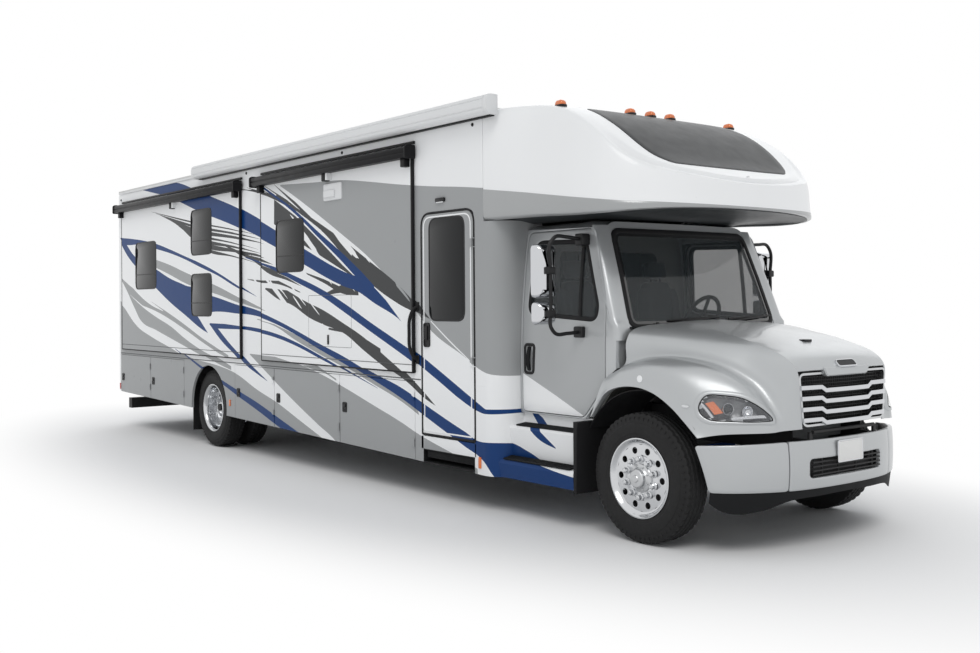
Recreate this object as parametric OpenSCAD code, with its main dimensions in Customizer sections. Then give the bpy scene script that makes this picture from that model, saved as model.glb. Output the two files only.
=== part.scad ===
// Motorhome on a conventional truck chassis, in millimetres.
// +X is forward, +Y is the vehicle's left, +Z is up, and the ground is z = 0.
// Modules are drawn with x = 0 at the front axle. place() then centres the length on the origin.

/* [Overall] */
// Distance between the front and rear axles
wheelbase = 7380; // [6900:20:7800]
// Front axle to the outside of the rear wall
coach_rear = 10500; // [10200:20:11200]
// Width over the coach side walls
coach_w = 2565; // [2400:5:3100]
// Height of the top of the side walls
wall_top = 3440; // [3300:10:4200]
// Front axle to the front of the bumper
bumper_front = 1020; // [1000:10:1200]
// Rear wall to the back of the hitch receiver
hitch_out = 240; // [200:10:320]

/* [Coach body] */
// Thickness of the side and rear walls
wall_t = 50; // [35:5:70]
// Thickness of the roof at its edge
roof_t = 40; // [30:5:60]
// Rise of the roof from its edge to its middle
roof_crown = 45; // [0:5:80]
// Height of the living floor
floor_top = 1165; // [1150:5:1200]
// Height of the line between the walls and the skirts
belt_z = 1080; // [1060:5:1100]
// Front axle to the start of the rounded front corners
corner_x = 1710; // [1690:5:1750]
// Radius of the rounded front corners
corner_r = 215; // [200:5:240]
// Bottom of the skirt at the front corner
skirt_low_front = 315; // [280:5:360]
// Bottom of the skirt at the rear wall
skirt_low_rear = 525; // [400:5:600]
// Thickness of the skirt panels and baggage doors
skirt_t = 30; // [20:2:40]
// Gap round every hinged panel
panel_gap = 6; // [5:1:10]

/* [Slide-outs] */
// Bottom edge of the slide-out faces
slide_low = 1150; // [1120:5:1160]
// Top of the side walls down to the top edge of the slide-out faces
slide_drop = 250; // [220:10:540]
// Depth of the slide-out boxes behind their faces
slide_depth = 850; // [700:10:900]
// Thickness of the slide-out panels
slide_t = 40; // [30:5:60]
// How far the face overlaps the wall round its opening
slide_lip = 30; // [20:5:50]

/* [Doors] */
// Front axle to the front edge of the entry door
entry_x = 1850; // [1840:5:1900]
// Width of the entry door
entry_w = 780; // [700:10:800]
// Bottom of the entry door
entry_low = 600; // [560:10:640]
// Top of the entry door
entry_top = 2610; // [2400:10:2700]
// Thickness of the entry door
entry_t = 45; // [35:5:50]

/* [Cab] */
// Width of the cab over its doors
cab_w = 2080; // [2000:10:2140]
// Bottom of the cab
cab_low = 870; // [850:5:900]
// Top of the cab roof
cab_top = 2460; // [2440:5:2480]
// Thickness of the cab walls and doors
cab_t = 60; // [40:5:70]
// Height of the cab's floor
cab_floor = 1040; // [1020:5:1080]
// Front axle back to the cab's front wall
cowl_x = 300; // [280:5:320]
// Half width of the bonnet over its fenders
fender_y = 1165; // [1120:5:1200]

/* [Wheels] */
// Radius of the tyres
tyre_r = 490; // [470:5:510]
// Width of one tyre
tyre_w = 255; // [220:5:275]
// Radius of the rim's edge
rim_r = 298; // [290:1:305]
// Outside of the front tyres, from the middle
front_tyre_y = 1185; // [1150:5:1200]
// Outside of the rear tyres, from the middle
rear_tyre_y = 1222; // [1190:2:1224]
// Spacing between the two tyres of a rear pair
dual_pitch = 335; // [310:5:350]
// Middle line to each king pin
kingpin_y = 880; // [850:5:900]
// Radius of the front spindles
spindle_r = 35; // [30:1:45]
// Radius of the rear spindles
rear_spindle_r = 45; // [40:1:50]

/* [Chassis] */
// Height of the top of the frame rails
rail_top = 960; // [900:5:980]
// Depth of the frame rails
rail_h = 250; // [200:5:270]
// Width over the frame rails
rail_w = 864; // [820:2:900]
// Inside width of the square hitch receiver
receiver_in = 51; // [49:0.5:65]
// Wall of the hitch receiver
receiver_t = 7; // [5:0.5:10]
// Radius of the cross hole for the receiver's pin
receiver_pin_r = 8; // [6:0.5:10]

/* [Hidden] */
$fn = 48;

silver = [0.72, 0.74, 0.76];
pearl = [0.93, 0.94, 0.95];
grey = [0.62, 0.64, 0.65];
black = [0.08, 0.08, 0.09];
steel = [0.25, 0.25, 0.27];
alloy = [0.85, 0.86, 0.88];
tint = [0.15, 0.17, 0.19];

half_w = coach_w / 2;
length_shift = (coach_rear + hitch_out - bumper_front) / 2;
seat_gap = 0.3;      // between a moving piece and what it rests on
run_gap = 0.3;       // radial clearance of pins and spindles
rail_y = rail_w / 2; // outside of a frame rail
floor_low = belt_z;
cab_y = cab_w / 2;
back_x = -coach_rear + wall_t; // inside of the rear wall
front_x = -corner_x + corner_r; // front face of the bulkhead behind the cab

module place() translate([length_shift, 0, 0]) children();
module left() mirror([0, 1, 0]) children();
module both() { children(); left() children(); }

// A drawing in x and z, as a slab from y0 to y1
module slab_y(y0, y1) translate([0, y1, 0]) rotate([90, 0, 0]) linear_extrude(y1 - y0) children();
// A drawing in y and z, as a slab from x0 to x1
module slab_x(x0, x1) translate([x0, 0, 0]) rotate([90, 0, 90]) linear_extrude(x1 - x0) children();
// A drawing in x and y, as a slab from z0 to z1
module slab_z(z0, z1) translate([0, 0, z0]) linear_extrude(z1 - z0) children();
// A box from its lowest to its highest corner
module block(a, b) translate(a) cube(b - a);
module rect(x0, z0, x1, z1) translate([x0, z0]) square([x1 - x0, z1 - z0]);
module round_rect(x0, z0, x1, z1, r)
    for (pass = [0, 1]) translate([pass ? x0 : x0 + r, pass ? z0 + r : z0])
        square([x1 - x0 - (pass ? 0 : 2 * r), z1 - z0 - (pass ? 2 * r : 0)]);
// A rectangle with four round corners
module soft_rect(x0, z0, x1, z1, r) {
    round_rect(x0, z0, x1, z1, r);
    for (x = [x0 + r, x1 - r], z = [z0 + r, z1 - r]) translate([x, z]) circle(r);
}

// ---- Hinges with an upright pin, outside a face that looks along -Y ----
hinge_out = 9;     // pin axis to the face
hinge_barrel = 7;  // outside radius of the turning barrel
hinge_pin = 3.5;   // radius of the pin
hinge_h = 70;      // length of one barrel
hinge_leg = 3;     // thickness of the leg that holds the pin
// The pin's ears reach forward by reach, and their leg goes in by depth
module hinge_fixed(x, y, z, reach, depth) translate([x, y - hinge_out, z]) {
    cylinder(r = hinge_pin, h = hinge_h);
    for (end = [-6, hinge_h]) translate([-hinge_pin, -hinge_pin, end]) {
        cube([hinge_pin + reach, 2 * hinge_pin, 6]);
        translate([hinge_pin + reach - hinge_leg, 0, 0]) cube([hinge_leg, hinge_pin + hinge_out + depth, 6]);
    }
}
module hinge_moving(x, y, z) translate([x, y - hinge_out, z]) difference() {
    union() {
        translate([0, 0, run_gap]) cylinder(r = hinge_barrel, h = hinge_h - 2 * run_gap);
        translate([-32, -2, run_gap]) cube([30, hinge_out + 4, hinge_h - 2 * run_gap]);
    }
    translate([0, 0, -1]) cylinder(r = hinge_pin + run_gap, h = hinge_h + 2);
}

// ---- Side of the coach: where doors, bays and slide-outs are ----
arch_x = -wheelbase + 20;
arch_r = 525;
arch_z = 505;
panel_rear = -wheelbase - 740;   // rear edge of the fixed panel with the wheel arch
panel_front = -wheelbase + 780;  // its front edge
entry_rear = -entry_x - entry_w;
bay_front = entry_rear - 130;    // front edge of the foremost bay
bay_span = bay_front - panel_front;
bay_edges_front = [panel_front, panel_front + 0.266 * bay_span, panel_front + 0.643 * bay_span, bay_front];
bay_edges_rear = [back_x + panel_gap / 2, (back_x + panel_rear) / 2, panel_rear];
right_bays = [[bay_edges_rear[0], bay_edges_rear[1]], [bay_edges_rear[1], bay_edges_rear[2]],
              [bay_edges_front[0], bay_edges_front[1]], [bay_edges_front[1], bay_edges_front[2]],
              [bay_edges_front[2], bay_edges_front[3]]];
left_bays = [right_bays[0], right_bays[3], right_bays[4]];
slide_top = wall_top - slide_drop;
drawn_face_h = 2040; // height of a slide-out face that its windows are drawn for
drawn_nose_h = 940;  // height of the nose over the cab, from its floor to the wall top, that it is drawn for
// Heights over the foot of the slide-outs, and over the floor of the nose, that follow the real heights there,
// in whole millimetres
function face_z(h) = round(slide_low + h * (slide_top - slide_low) / drawn_face_h);
function nose_z(h) = round(overcab_low + h * (wall_top - overcab_low) / drawn_nose_h);
function skirt_low(x) = skirt_low_front
    + (skirt_low_rear - skirt_low_front) * (-x - corner_x) / (coach_rear - corner_x);

// Faces of the slide-outs along x, and the x spans of their windows
slide_right_rear = [-coach_rear + 190, -wheelbase + 1000];
slide_right_front = [-wheelbase + 1550, bay_front + 10];
slide_left = [-wheelbase + 1150, -corner_x - 550];
box_low = slide_low + slide_lip + 20;

// ---- Chassis ----
rail_z = rail_top - rail_h;
rail_t = 9;  // thickness of a rail's web and flanges
rail_f = 80; // width of its flanges
module frame_rails() color(steel) {
    both() {
        difference() {
            block([-coach_rear + 60, -rail_y, rail_z], [820, -rail_y + rail_f, rail_top]);
            block([-coach_rear + 50, -rail_y + rail_t, rail_z + rail_t], [830, -rail_y + rail_f + 1, rail_top - rail_t]);
        }
        // Spring hangers
        for (x = [-620, 620, -wheelbase - 640, -wheelbase + 640])
            block([x - 35, -rail_y, rail_z - 60], [x + 35, -rail_y + rail_f, rail_z + 1]);
        // Bumper bracket, and the posts of the bonnet's pivot
        block([780, -rail_y + 10, rail_z + 45], [hood_pivot[0], -rail_y + 50, rail_z + 90]);
        block([780, -rail_y + 10, rail_z - 70], [bumper_front - 150, -rail_y + 50, rail_z + 46]);
        block([hood_pivot[0] - 20, -rail_y + 12, rail_z + 60], [hood_pivot[0], -rail_y + 48, hood_pivot[1]]);
        // Cab mounts
        for (x = [-600, -1380])
            block([x - 40, -rail_y - 90, rail_top - 130], [x + 40, -rail_y + 1, cab_floor_low - seat_gap]);
    }
}

module crossmembers() color(steel) {
    // Tube that the bonnet turns on
    translate([hood_pivot[0], -rail_y + 48 + seat_gap, hood_pivot[1]]) rotate([-90, 0, 0])
        cylinder(r = 14, h = rail_w - 96 - 2 * seat_gap);
    for (x = [-1480, -3300, -5200, -wheelbase + 760, -wheelbase - 760, -9400, -coach_rear + 160])
        block([x - 40, -rail_y + rail_t + seat_gap, rail_z + 40], [x + 40, rail_y - rail_t - seat_gap, rail_top - 40]);
}

// Outriggers that carry the coach floor
module outriggers() color(steel) both() for (x = [-2700, -4300, -5900, -8300, -9900])
    block([x - 30, -half_w + 160, rail_top + seat_gap], [x + 30, -rail_y + rail_f, floor_low]);

module axles() color(steel) {
    spring_y = rail_y - 40;
    // Front beam with an upright boss at each end
    difference() {
        union() {
            block([-55, -kingpin_y + 30, tyre_r - 70], [55, kingpin_y - 30, tyre_r + 50]);
            both() translate([0, -kingpin_y, tyre_r - 85]) cylinder(r = 48, h = 170);
        }
        both() translate([0, -kingpin_y, 0]) cylinder(r = 22 + run_gap, h = 1000);
    }
    both() block([-60, -spring_y - 45, tyre_r + 50], [60, -spring_y + 45, rail_top - rail_h - 60]);
    both() block([-650, -spring_y - 38, rail_top - rail_h - 95], [650, -spring_y + 38, rail_top - rail_h - 60.5]);
    // Rear housing with its differential, spindles and springs
    translate([-wheelbase, 0, tyre_r]) {
        translate([0, -rear_tyre_y + 90, 0]) rotate([-90, 0, 0])
            cylinder(r = rear_spindle_r, h = 2 * rear_tyre_y - 180);
        rotate([90, 0, 0]) cylinder(r = 75, h = 1060, center = true);
        sphere(r = 205);
        // Propeller shaft to the gearbox
        translate([150, 0, 20]) rotate([0, 90 - 0.9, 0]) cylinder(r = 50, h = wheelbase - 150 - 1350);
    }
    both() {
        block([-wheelbase - 60, -spring_y - 45, tyre_r + 60], [-wheelbase + 60, -spring_y + 45, rail_top - rail_h - 60]);
        block([-wheelbase - 680, -spring_y - 38, rail_top - rail_h - 110], [-wheelbase + 680, -spring_y + 38, rail_top - rail_h - 60.5]);
    }
}

module engine() color(grey) {
    block([-cowl_x + 30, -330, 720], [600, 330, 1330]);
    block([-1250, -230, 620], [-cowl_x + 30, 230, 860]);
    // Mounts on the rails
    both() block([100, -rail_y + rail_t + seat_gap, 800], [220, -329, 880]);
    // Radiator
    block([600, -345, 760], [700, 345, 1260]);
}

tank_clear = 110.72; // from the fuel tank's ends to the luggage bay and the wheel arch panel
module fuel_tank() {
    tank_r = 235;
    tank_y = 860;
    tank_len = left_bays[1][0] - panel_front - 2 * tank_clear;
    translate([(panel_front + left_bays[1][0]) / 2, tank_y, rail_top - rail_h / 2 - 130]) {
        color(alloy) rotate([0, 90, 0]) cylinder(r = tank_r, h = tank_len, center = true);
        // Straps, and their brackets on the left rail
        color(steel) for (x = [-tank_len * 5 / 16, tank_len * 5 / 16]) {
            translate([x, 0, 0]) rotate([0, 90, 0]) cylinder(r = tank_r + 8, h = 50, center = true);
            block([x - 25, rail_y - tank_y + seat_gap, -60], [x + 25, -tank_r + 20, 60]);
        }
    }
}

module hitch_receiver() color(black) {
    out = receiver_in / 2 + receiver_t;
    cross_z = 330;
    x0 = -coach_rear - hitch_out;
    difference() {
        union() {
            block([x0, -out, cross_z - out], [-coach_rear + 250, out, cross_z + out]);
            // Rear cross beam, and the plates that hang it from the rails
            difference() {
                block([-coach_rear - 150, -half_w + 190, cross_z - 75], [-coach_rear - 30, half_w - 190, cross_z + 75]);
                block([x0, -out + 0.01, cross_z - out + 0.01], [0, out - 0.01, cross_z + out - 0.01]);
            }
            for (y = [-rail_y + 12, rail_y - 32])
                block([-coach_rear - 130, y, cross_z], [-coach_rear - 20, y + 20, 500]);
            for (y = [-rail_y + 12, rail_y - 32])
                block([-coach_rear - 130, y, 400], [-coach_rear + 400, y + 20, 500]);
            for (y = [-rail_y + 12, rail_y - 32])
                block([-coach_rear + 100, y, 400], [-coach_rear + 400, y + 20, rail_top - rail_h - 0.5]);
        }
        block([x0 - 1, -receiver_in / 2, cross_z - receiver_in / 2], [-coach_rear + 200, receiver_in / 2, cross_z + receiver_in / 2]);
        translate([x0 + 65, 0, cross_z]) rotate([90, 0, 0]) cylinder(r = receiver_pin_r, h = 200, center = true);
    }
}

// ---- Front end ----
hood_pivot = [bumper_front - 60, 855]; // x and z of the axis that the bonnet tilts on
bumper_low = 470;
bumper_top = 800;
bumper_end = 545;
// Outer line of the bumper from right to left, and a band of thickness t along a line
bumper_plan = [for (a = [-90 : 9 : 90]) [bumper_end + (bumper_front - bumper_end) * pow(max(cos(a), 0), 0.75), (fender_y + 5) * sin(a)]];
function normal(p, i) = let (d = p[min(i + 1, len(p) - 1)] - p[max(i - 1, 0)]) [d[1], -d[0]] / norm(d);
function band(p, t0, t1) = concat([for (i = [0 : len(p) - 1]) p[i] - t0 * normal(p, i)],
    [for (i = [len(p) - 1 : -1 : 0]) p[i] - t1 * normal(p, i)]);

module front_bumper() {
    skin = 28;
    color(silver) difference() {
        slab_z(bumper_low, bumper_top) polygon(band(bumper_plan, 0, skin));
        // Air intake
        slab_x(bumper_front - 200, bumper_front + 10) soft_rect(-430, 555, 430, 690, 30);
    }
    // Air dam under the bumper
    color(black) slab_z(345, bumper_low) polygon([for (q = band(bumper_plan, 12, skin)) [q[0] - 8, q[1]]]);
    // Brackets to the frame
    color(steel) both() block([bumper_front - 150, -rail_y + 10, 640], [bumper_front - skin - 12, -rail_y + 50, 740]);
}

hood_front = 960;
hood_rear = -cowl_x + 10;
hood_low = 865;
// Side view of the bonnet's middle, from the cowl to the grille
hood_profile = [[hood_rear, 1610], [0, 1600], [350, 1540], [650, 1450], [850, 1370], [hood_front - 20, 1290],
                [hood_front, 1180], [hood_front, hood_low]];
hood_half = 640; // half width of the raised middle
hood_skin = 30;
wheel_gap_r = 665;
module hood_outline(in) polygon(concat(
    [[hood_rear - 1, hood_low - 1 - in]],
    [for (q = hood_profile) [q[0] - (q[0] > hood_front - 30 ? in : 0) - (q[0] < hood_rear + 1 ? 2 * in : 0), q[1] - in]]));
fender_profile = [[hood_rear, 1330], [0, 1380], [250, 1370], [500, 1290], [700, 1170], [800, 1060], [850, hood_low]];
module fender_outline(in) polygon(concat(
    [[hood_rear - 1, hood_low - 1 - in]],
    [for (q = fender_profile) [q[0] - (q[0] > 600 ? in : 0) - (q[0] < hood_rear + 1 ? 2 * in : 0), q[1] - in]]));

module hood_body() difference() {
    union() {
        slab_y(-hood_half, hood_half) hood_outline(0);
        slab_y(-fender_y, fender_y) fender_outline(0);
        both() hull() {
            translate([hood_rear, -fender_y + 60, 1290]) cube([560, 10, 10]);
            translate([hood_rear, -hood_half, 1430]) cube([700, 10, 10]);
            translate([hood_rear, -hood_half, 1290]) cube([800, 10, 10]);
        }
    }
    slab_y(-hood_half + hood_skin, hood_half - hood_skin) hood_outline(hood_skin);
    slab_y(-fender_y + hood_skin, fender_y - hood_skin) fender_outline(hood_skin);
    // Wheel openings
    translate([0, 0, tyre_r]) rotate([90, 0, 0]) cylinder(r = wheel_gap_r, h = 4 * fender_y, center = true, $fn = 96);
    // Grille opening
    slab_x(hood_front - hood_skin - 20, hood_front + 10) soft_rect(-500, 900, 500, 1275, 50);
}
module lamp_space(gap) both() block([560, -1180, 955 + gap], [1000, -700 - gap, 1140 - gap]);
lug_y = 300;
module hood() color(silver) difference() {
    union() {
        difference() {
            hood_body();
            lamp_space(0);
        }
        // Lugs that turn on the frame's tube
        both() {
            translate([hood_pivot[0], -lug_y - 40, hood_pivot[1]]) rotate([-90, 0, 0]) cylinder(r = 26, h = 40);
            block([hood_front - hood_skin, -lug_y - 40, hood_pivot[1]], [hood_front, -lug_y, 898]);
        }
    }
    translate([hood_pivot[0], -fender_y, hood_pivot[1]]) rotate([-90, 0, 0]) cylinder(r = 14 + run_gap, h = 2 * fender_y);
}

module grille() color(alloy) {
    slab_x(hood_front - 45, hood_front - 15) difference() {
        soft_rect(-499.5, 900.5, 499.5, 1274.5, 49);
        for (row = [0 : 4]) soft_rect(-460, 925 + row * 68, 460, 975 + row * 68, 12);
    }
}

// The lamps fill their openings in the bonnet's skin
module headlamps() color(tint) intersection() {
    hood_body();
    lamp_space(0.5);
}

// ---- Cab ----
screen_low = [-cowl_x - 30, 1610];
screen_top = [-640, 2400];
cab_floor_low = cab_floor - 60;
cab_profile = [[front_x + seat_gap, cab_low], [-700, cab_low], [-cowl_x - 150, 1150], [-cowl_x, 1150], [-cowl_x, 1600],
               screen_low, screen_top, [-780, cab_top], [front_x + seat_gap, cab_top]];
cab_room = [[front_x - 1, cab_floor], [-cowl_x - cab_t - 80, cab_floor], [-cowl_x - cab_t, 1180],
            [-cowl_x - cab_t, 1590], [screen_low[0] - cab_t, 1600], [screen_top[0] - cab_t, screen_top[1] - 30], [-800, cab_top - cab_t],
            [front_x - 1, cab_top - cab_t]];
door_rear = front_x + 40;
door_edge = [[door_rear, cab_low + 4], [-715, cab_low + 4], [-cowl_x - 170, 1140], [-cowl_x - 160, 1160], [-cowl_x - 160, 1850],
             [-cowl_x - 380, 2400], [door_rear, 2400]];
door_window = [[door_rear + 75, 1720], [-cowl_x - 330, 1650], [-cowl_x - 255, 1700], [-cowl_x - 440, 2280], [door_rear + 110, 2310]];
module door_shape(grow) offset(delta = grow) polygon(door_edge);
module windscreen_axes() translate([screen_low[0], 0, screen_low[1]])
    rotate([0, -atan2(screen_low[0] - screen_top[0], screen_top[1] - screen_low[1]), 0]) children();
screen_len = norm(screen_top - screen_low);

module cab_shell() color(silver) difference() {
    slab_y(-cab_y, cab_y) polygon(cab_profile);
    slab_y(-cab_y + cab_t, cab_y - cab_t) polygon(cab_room);
    both() slab_y(-cab_y - 1, -cab_y + cab_t) door_shape(panel_gap);
    // Space under the floor
    block([front_x - 1, -cab_y + cab_t, 0], [-cowl_x - cab_t - 20, cab_y - cab_t, cab_floor_low]);
    // Windscreen opening
    windscreen_axes() block([-200, -900, 30], [200, 900, screen_len - 20]);
}

module glass_pane(x0, z0, x1, z1, y_out) slab_y(y_out, y_out + 6) soft_rect(x0, z0, x1, z1, 60);

module cab_door(side) color(silver) {
    difference() {
        slab_y(-cab_y, -cab_y + cab_t - panel_gap) door_shape(0);
        slab_y(-cab_y - 1, -cab_y + cab_t) polygon(door_window);
    }
    for (z = cab_hinge_z) hinge_moving(cab_hinge_x, -cab_y, z);
}
module cab_door_glass() color(tint) slab_y(-cab_y + 25, -cab_y + 31) polygon(door_window);

cab_hinge_x = -cowl_x - 185;
cab_hinge_z = [1220, 1620];
module cab_hinges() for (z = cab_hinge_z) hinge_fixed(cab_hinge_x, -cab_y, z, 50, 1);

module mirror_unit() color(black) {
    arm_x = -740;
    arm_y = -cab_y - 330;
    for (z = [1570, 2310]) {
        translate([arm_x, -cab_y - 5, z]) rotate([90, 0, 0]) cylinder(r = 15, h = 325);
        block([arm_x - 45, -cab_y - 35, z - 45], [arm_x + 45, -cab_y, z + 45]);
    }
    translate([arm_x, arm_y, 1555]) cylinder(r = 16, h = 770);
    block([arm_x - 120, arm_y - 110, 1830], [arm_x - 15, arm_y + 110, 2260]);
    block([arm_x - 120, arm_y - 110, 1620], [arm_x - 15, arm_y + 110, 1800]);
}

module seats() color(black) both() {
    block([-1330, -700, cab_floor], [-900, -300, 1260]);
    block([-1370, -740, 1260], [-850, -260, 1400]);
    slab_y(-730, -270) polygon([[-1370, 1400], [-1250, 1400], [-1330, 2010], [-1440, 2010]]);
    slab_y(-560, -440) polygon([[-1360, 2010], [-1420, 2010], [-1420, 2030], [-1360, 2030]]);
    slab_y(-620, -380) polygon([[-1350, 2030], [-1440, 2030], [-1445, 2190], [-1365, 2190]]);
}

module dashboard() color(steel) {
    slab_y(-cab_y + cab_t + 25, cab_y - cab_t - 25) polygon([[-cowl_x - cab_t - seat_gap, 1250], [-620, 1250], [-700, 1400], [-690, 1540],
        [-600, 1590], [-cowl_x - cab_t - 60, 1580], [-cowl_x - cab_t - seat_gap, 1560]]);
    // Steering column and wheel
    translate([-600, 500, 1540]) rotate([0, -65, 0]) {
        cylinder(r = 30, h = 260);
        translate([0, 0, 245]) {
            rotate_extrude($fn = 64) translate([210, 0]) circle(r = 16);
            for (a = [0, 120, 240]) rotate([0, 0, a]) translate([0, -15, -8]) cube([205, 30, 16]);
            cylinder(r = 60, h = 30, center = true);
        }
    }
}

step_end = -650;
step_shape = [[-760, cab_low - 5], [-1015, cab_low - 5], [-1035, 770], [-1145, 757], [-1165, 735], [-1130, 490], [-1225, 470], [-1240, 440],
              [-1225, skirt_low_front + 5]];
module cab_steps() color(pearl) both() difference() {
    cab_step_shell();
    // Clear of the rounded corner and the bulkhead
    translate([-corner_x, -half_w + corner_r, -1]) cylinder(r = corner_r + 0.5, h = 3000, $fn = 96);
    block([-corner_x - 1, -half_w + corner_r, -1], [front_x + 0.5, 0, 3000]);
}
module cab_step_shell() {
    skin = 20;
    inner = [for (i = [len(step_shape) - 1 : -1 : 0]) step_shape[i] + [skin, i == 0 || i == 1 ? -skin : (i == 8 ? 0 : -skin / 2)]];
    slab_x(-corner_x + 1, step_end) polygon(concat(step_shape, inner));
    slab_x(step_end - skin, step_end) polygon(concat(step_shape, [[-760, skirt_low_front + 5]]));
}

// ---- Coach ----
module wall_plan() {
    cy = half_w - corner_r;
    difference() {
        union() {
            translate([back_x, -half_w]) square([-corner_x - back_x, wall_t]);
            intersection() {
                translate([-corner_x, -cy]) circle(r = corner_r, $fn = 96);
                translate([-corner_x, -half_w]) square([corner_r, corner_r]);
            }
            translate([front_x - wall_t, -cy]) square([wall_t, cy - 800]);
        }
        translate([-corner_x, -cy]) circle(r = corner_r - wall_t, $fn = 96);
    }
}

module slide_hole(s) rect(s[0] + slide_lip, floor_top, s[1] - slide_lip, slide_top - slide_lip);

module entry_hole() soft_rect(entry_rear - panel_gap, entry_low - panel_gap, -entry_x + panel_gap, entry_top + panel_gap, 60);

module side_wall(slides, entry) {
    difference() {
        union() {
            slab_z(belt_z, wall_top) intersection() {
                wall_plan();
                translate([back_x, -half_w]) square([-corner_x - back_x, wall_t]);
            }
            slab_z(skirt_low_front, overcab_low - seat_gap) intersection() {
                wall_plan();
                translate([-corner_x, -half_w]) square([corner_r, half_w]);
            }
        }
        slab_y(-half_w - 1, -half_w + wall_t + 1) for (s = slides) slide_hole(s);
        if (entry) slab_y(-half_w - 1, -half_w + wall_t + 1) entry_hole();
        if (!entry) slab_y(-half_w - 1, -half_w + wall_t + 1) for (w = left_windows) window_hole(w, 0);
    }
}

entry_hinge_x = -entry_x - 20;
entry_hinge_z = [1250, entry_top - 320];
// Windows as [x0, z0, x1, z1]
left_windows = [[-coach_rear + 700, face_z(870), -coach_rear + 1450, face_z(1530)],
                [-wheelbase - 300, face_z(1200), -wheelbase + 250, face_z(1650)],
                [-wheelbase + 450, face_z(1100), -wheelbase + 950, face_z(1750)]];
rear_window = [-450, face_z(1050), 450, face_z(1500)];
rear_slide_windows = [[slide_right_rear[0] + 550, face_z(870), slide_right_rear[0] + 1330, face_z(1530)],
                      [slide_right_rear[0] + 2500, face_z(1280), slide_right_rear[0] + 3140, face_z(1860)],
                      [slide_right_rear[0] + 2500, face_z(500), slide_right_rear[0] + 3140, face_z(1040)]];
front_slide_windows = [[slide_right_front[0] + 370, face_z(1000), slide_right_front[0] + 1020, face_z(1580)]];
left_slide_windows = [[slide_left[0] + 400, face_z(800), slide_left[0] + 1500, face_z(1500)],
                      [slide_left[0] + 2300, face_z(800), slide_left[0] + 3100, face_z(1500)]];
module window_hole(w, grow) soft_rect(w[0] - grow, w[1] - grow, w[2] + grow, w[3] + grow, 60 + grow);

module side_walls() color(pearl) {
    side_wall([slide_right_rear, slide_right_front], true);
    left() side_wall([slide_left], false);
    for (z = entry_hinge_z) hinge_fixed(entry_hinge_x, -half_w, z, 40, 1);
}

plate_z = 900;         // middle of the number plate
plate_pitch = 177.8;   // spacing of its two screws
plate_hole_r = 3.5;
module rear_wall() color(pearl) difference() {
    union() {
        slab_x(-coach_rear, back_x) soft_rect(-half_w, skirt_low_rear, half_w, wall_top, 30);
        // Pad for the number plate
        slab_x(-coach_rear - 10, -coach_rear + 1) soft_rect(-165, plate_z - 85, 165, plate_z + 85, 15);
    }
    for (y = [-plate_pitch / 2, plate_pitch / 2]) translate([-coach_rear - 20, y, plate_z + 55]) rotate([0, 90, 0])
        cylinder(r = plate_hole_r, h = 20 + wall_t - 10);
    slab_x(-coach_rear - 20, back_x + 1) soft_rect(rear_window[0], rear_window[1], rear_window[2], rear_window[3], 60);
}

module roof() color(pearl) slab_x(-coach_rear, -corner_x) polygon(concat(
    [[-half_w, wall_top], [-half_w, wall_top + roof_t]],
    [for (i = [-4 : 4]) [i * half_w * 0.23, wall_top + roof_t + roof_crown * (1 - pow(i / 4.4, 2))]],
    [[half_w, wall_top + roof_t], [half_w, wall_top]]));

overcab_low = 2500;
nose_x = 200;
overcab_side = [[-corner_x, overcab_low], [front_x + 10, overcab_low], [-1100, overcab_low - 30], [-60, overcab_low - 30],
                [70, overcab_low + 15], [nose_x - 20, nose_z(150)], [nose_x, nose_z(260)], [140, nose_z(340)], [0, nose_z(425)],
                [-650, nose_z(840)], [-930, wall_top - 5],
                [-1250, wall_top + 60], [-corner_x, wall_top + 60]];
overcab_start = -900; // where the plan begins to round
function overcab_plan(in) = [for (a = [-90 : 7.5 : 90]) [overcab_start + (nose_x + 2 - in - overcab_start) * cos(a), (half_w - in) * sin(a)]];
module overcab_prism(in) slab_z(2000, 4200) polygon(concat([[-corner_x - (in > 0 ? 1 : 0), -half_w + in]], overcab_plan(in),
    [[-corner_x - (in > 0 ? 1 : 0), half_w - in]]));
module overcab_outer() intersection() {
    slab_y(-half_w, half_w) polygon(overcab_side);
    overcab_prism(0);
}
module overcab() color(pearl) difference() {
    overcab_outer();
    intersection() {
        slab_y(-half_w + wall_t, half_w - wall_t) polygon([[-corner_x - 1, overcab_low + 45], [-1400, overcab_low + 45],
            [-1100, overcab_low + 15], [-80, overcab_low + 15], [20, overcab_low + 50], [120, nose_z(170)], [135, nose_z(240)],
            [90, nose_z(300)], [-30, nose_z(370)], [-680, nose_z(785)], [-945, wall_top - 60], [-1250, wall_top + 5], [-corner_x - 1, wall_top + 5]]);
        overcab_prism(wall_t);
    }
}

stair_y = -640; // inner end of the stair inside the entry door
stair_out = -half_w + wall_t + panel_gap;
stair_rise = (floor_top - entry_low) / 3;
stair_run = (stair_y - stair_out) / 3;
plate = 20; // thickness of its treads and panels
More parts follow.
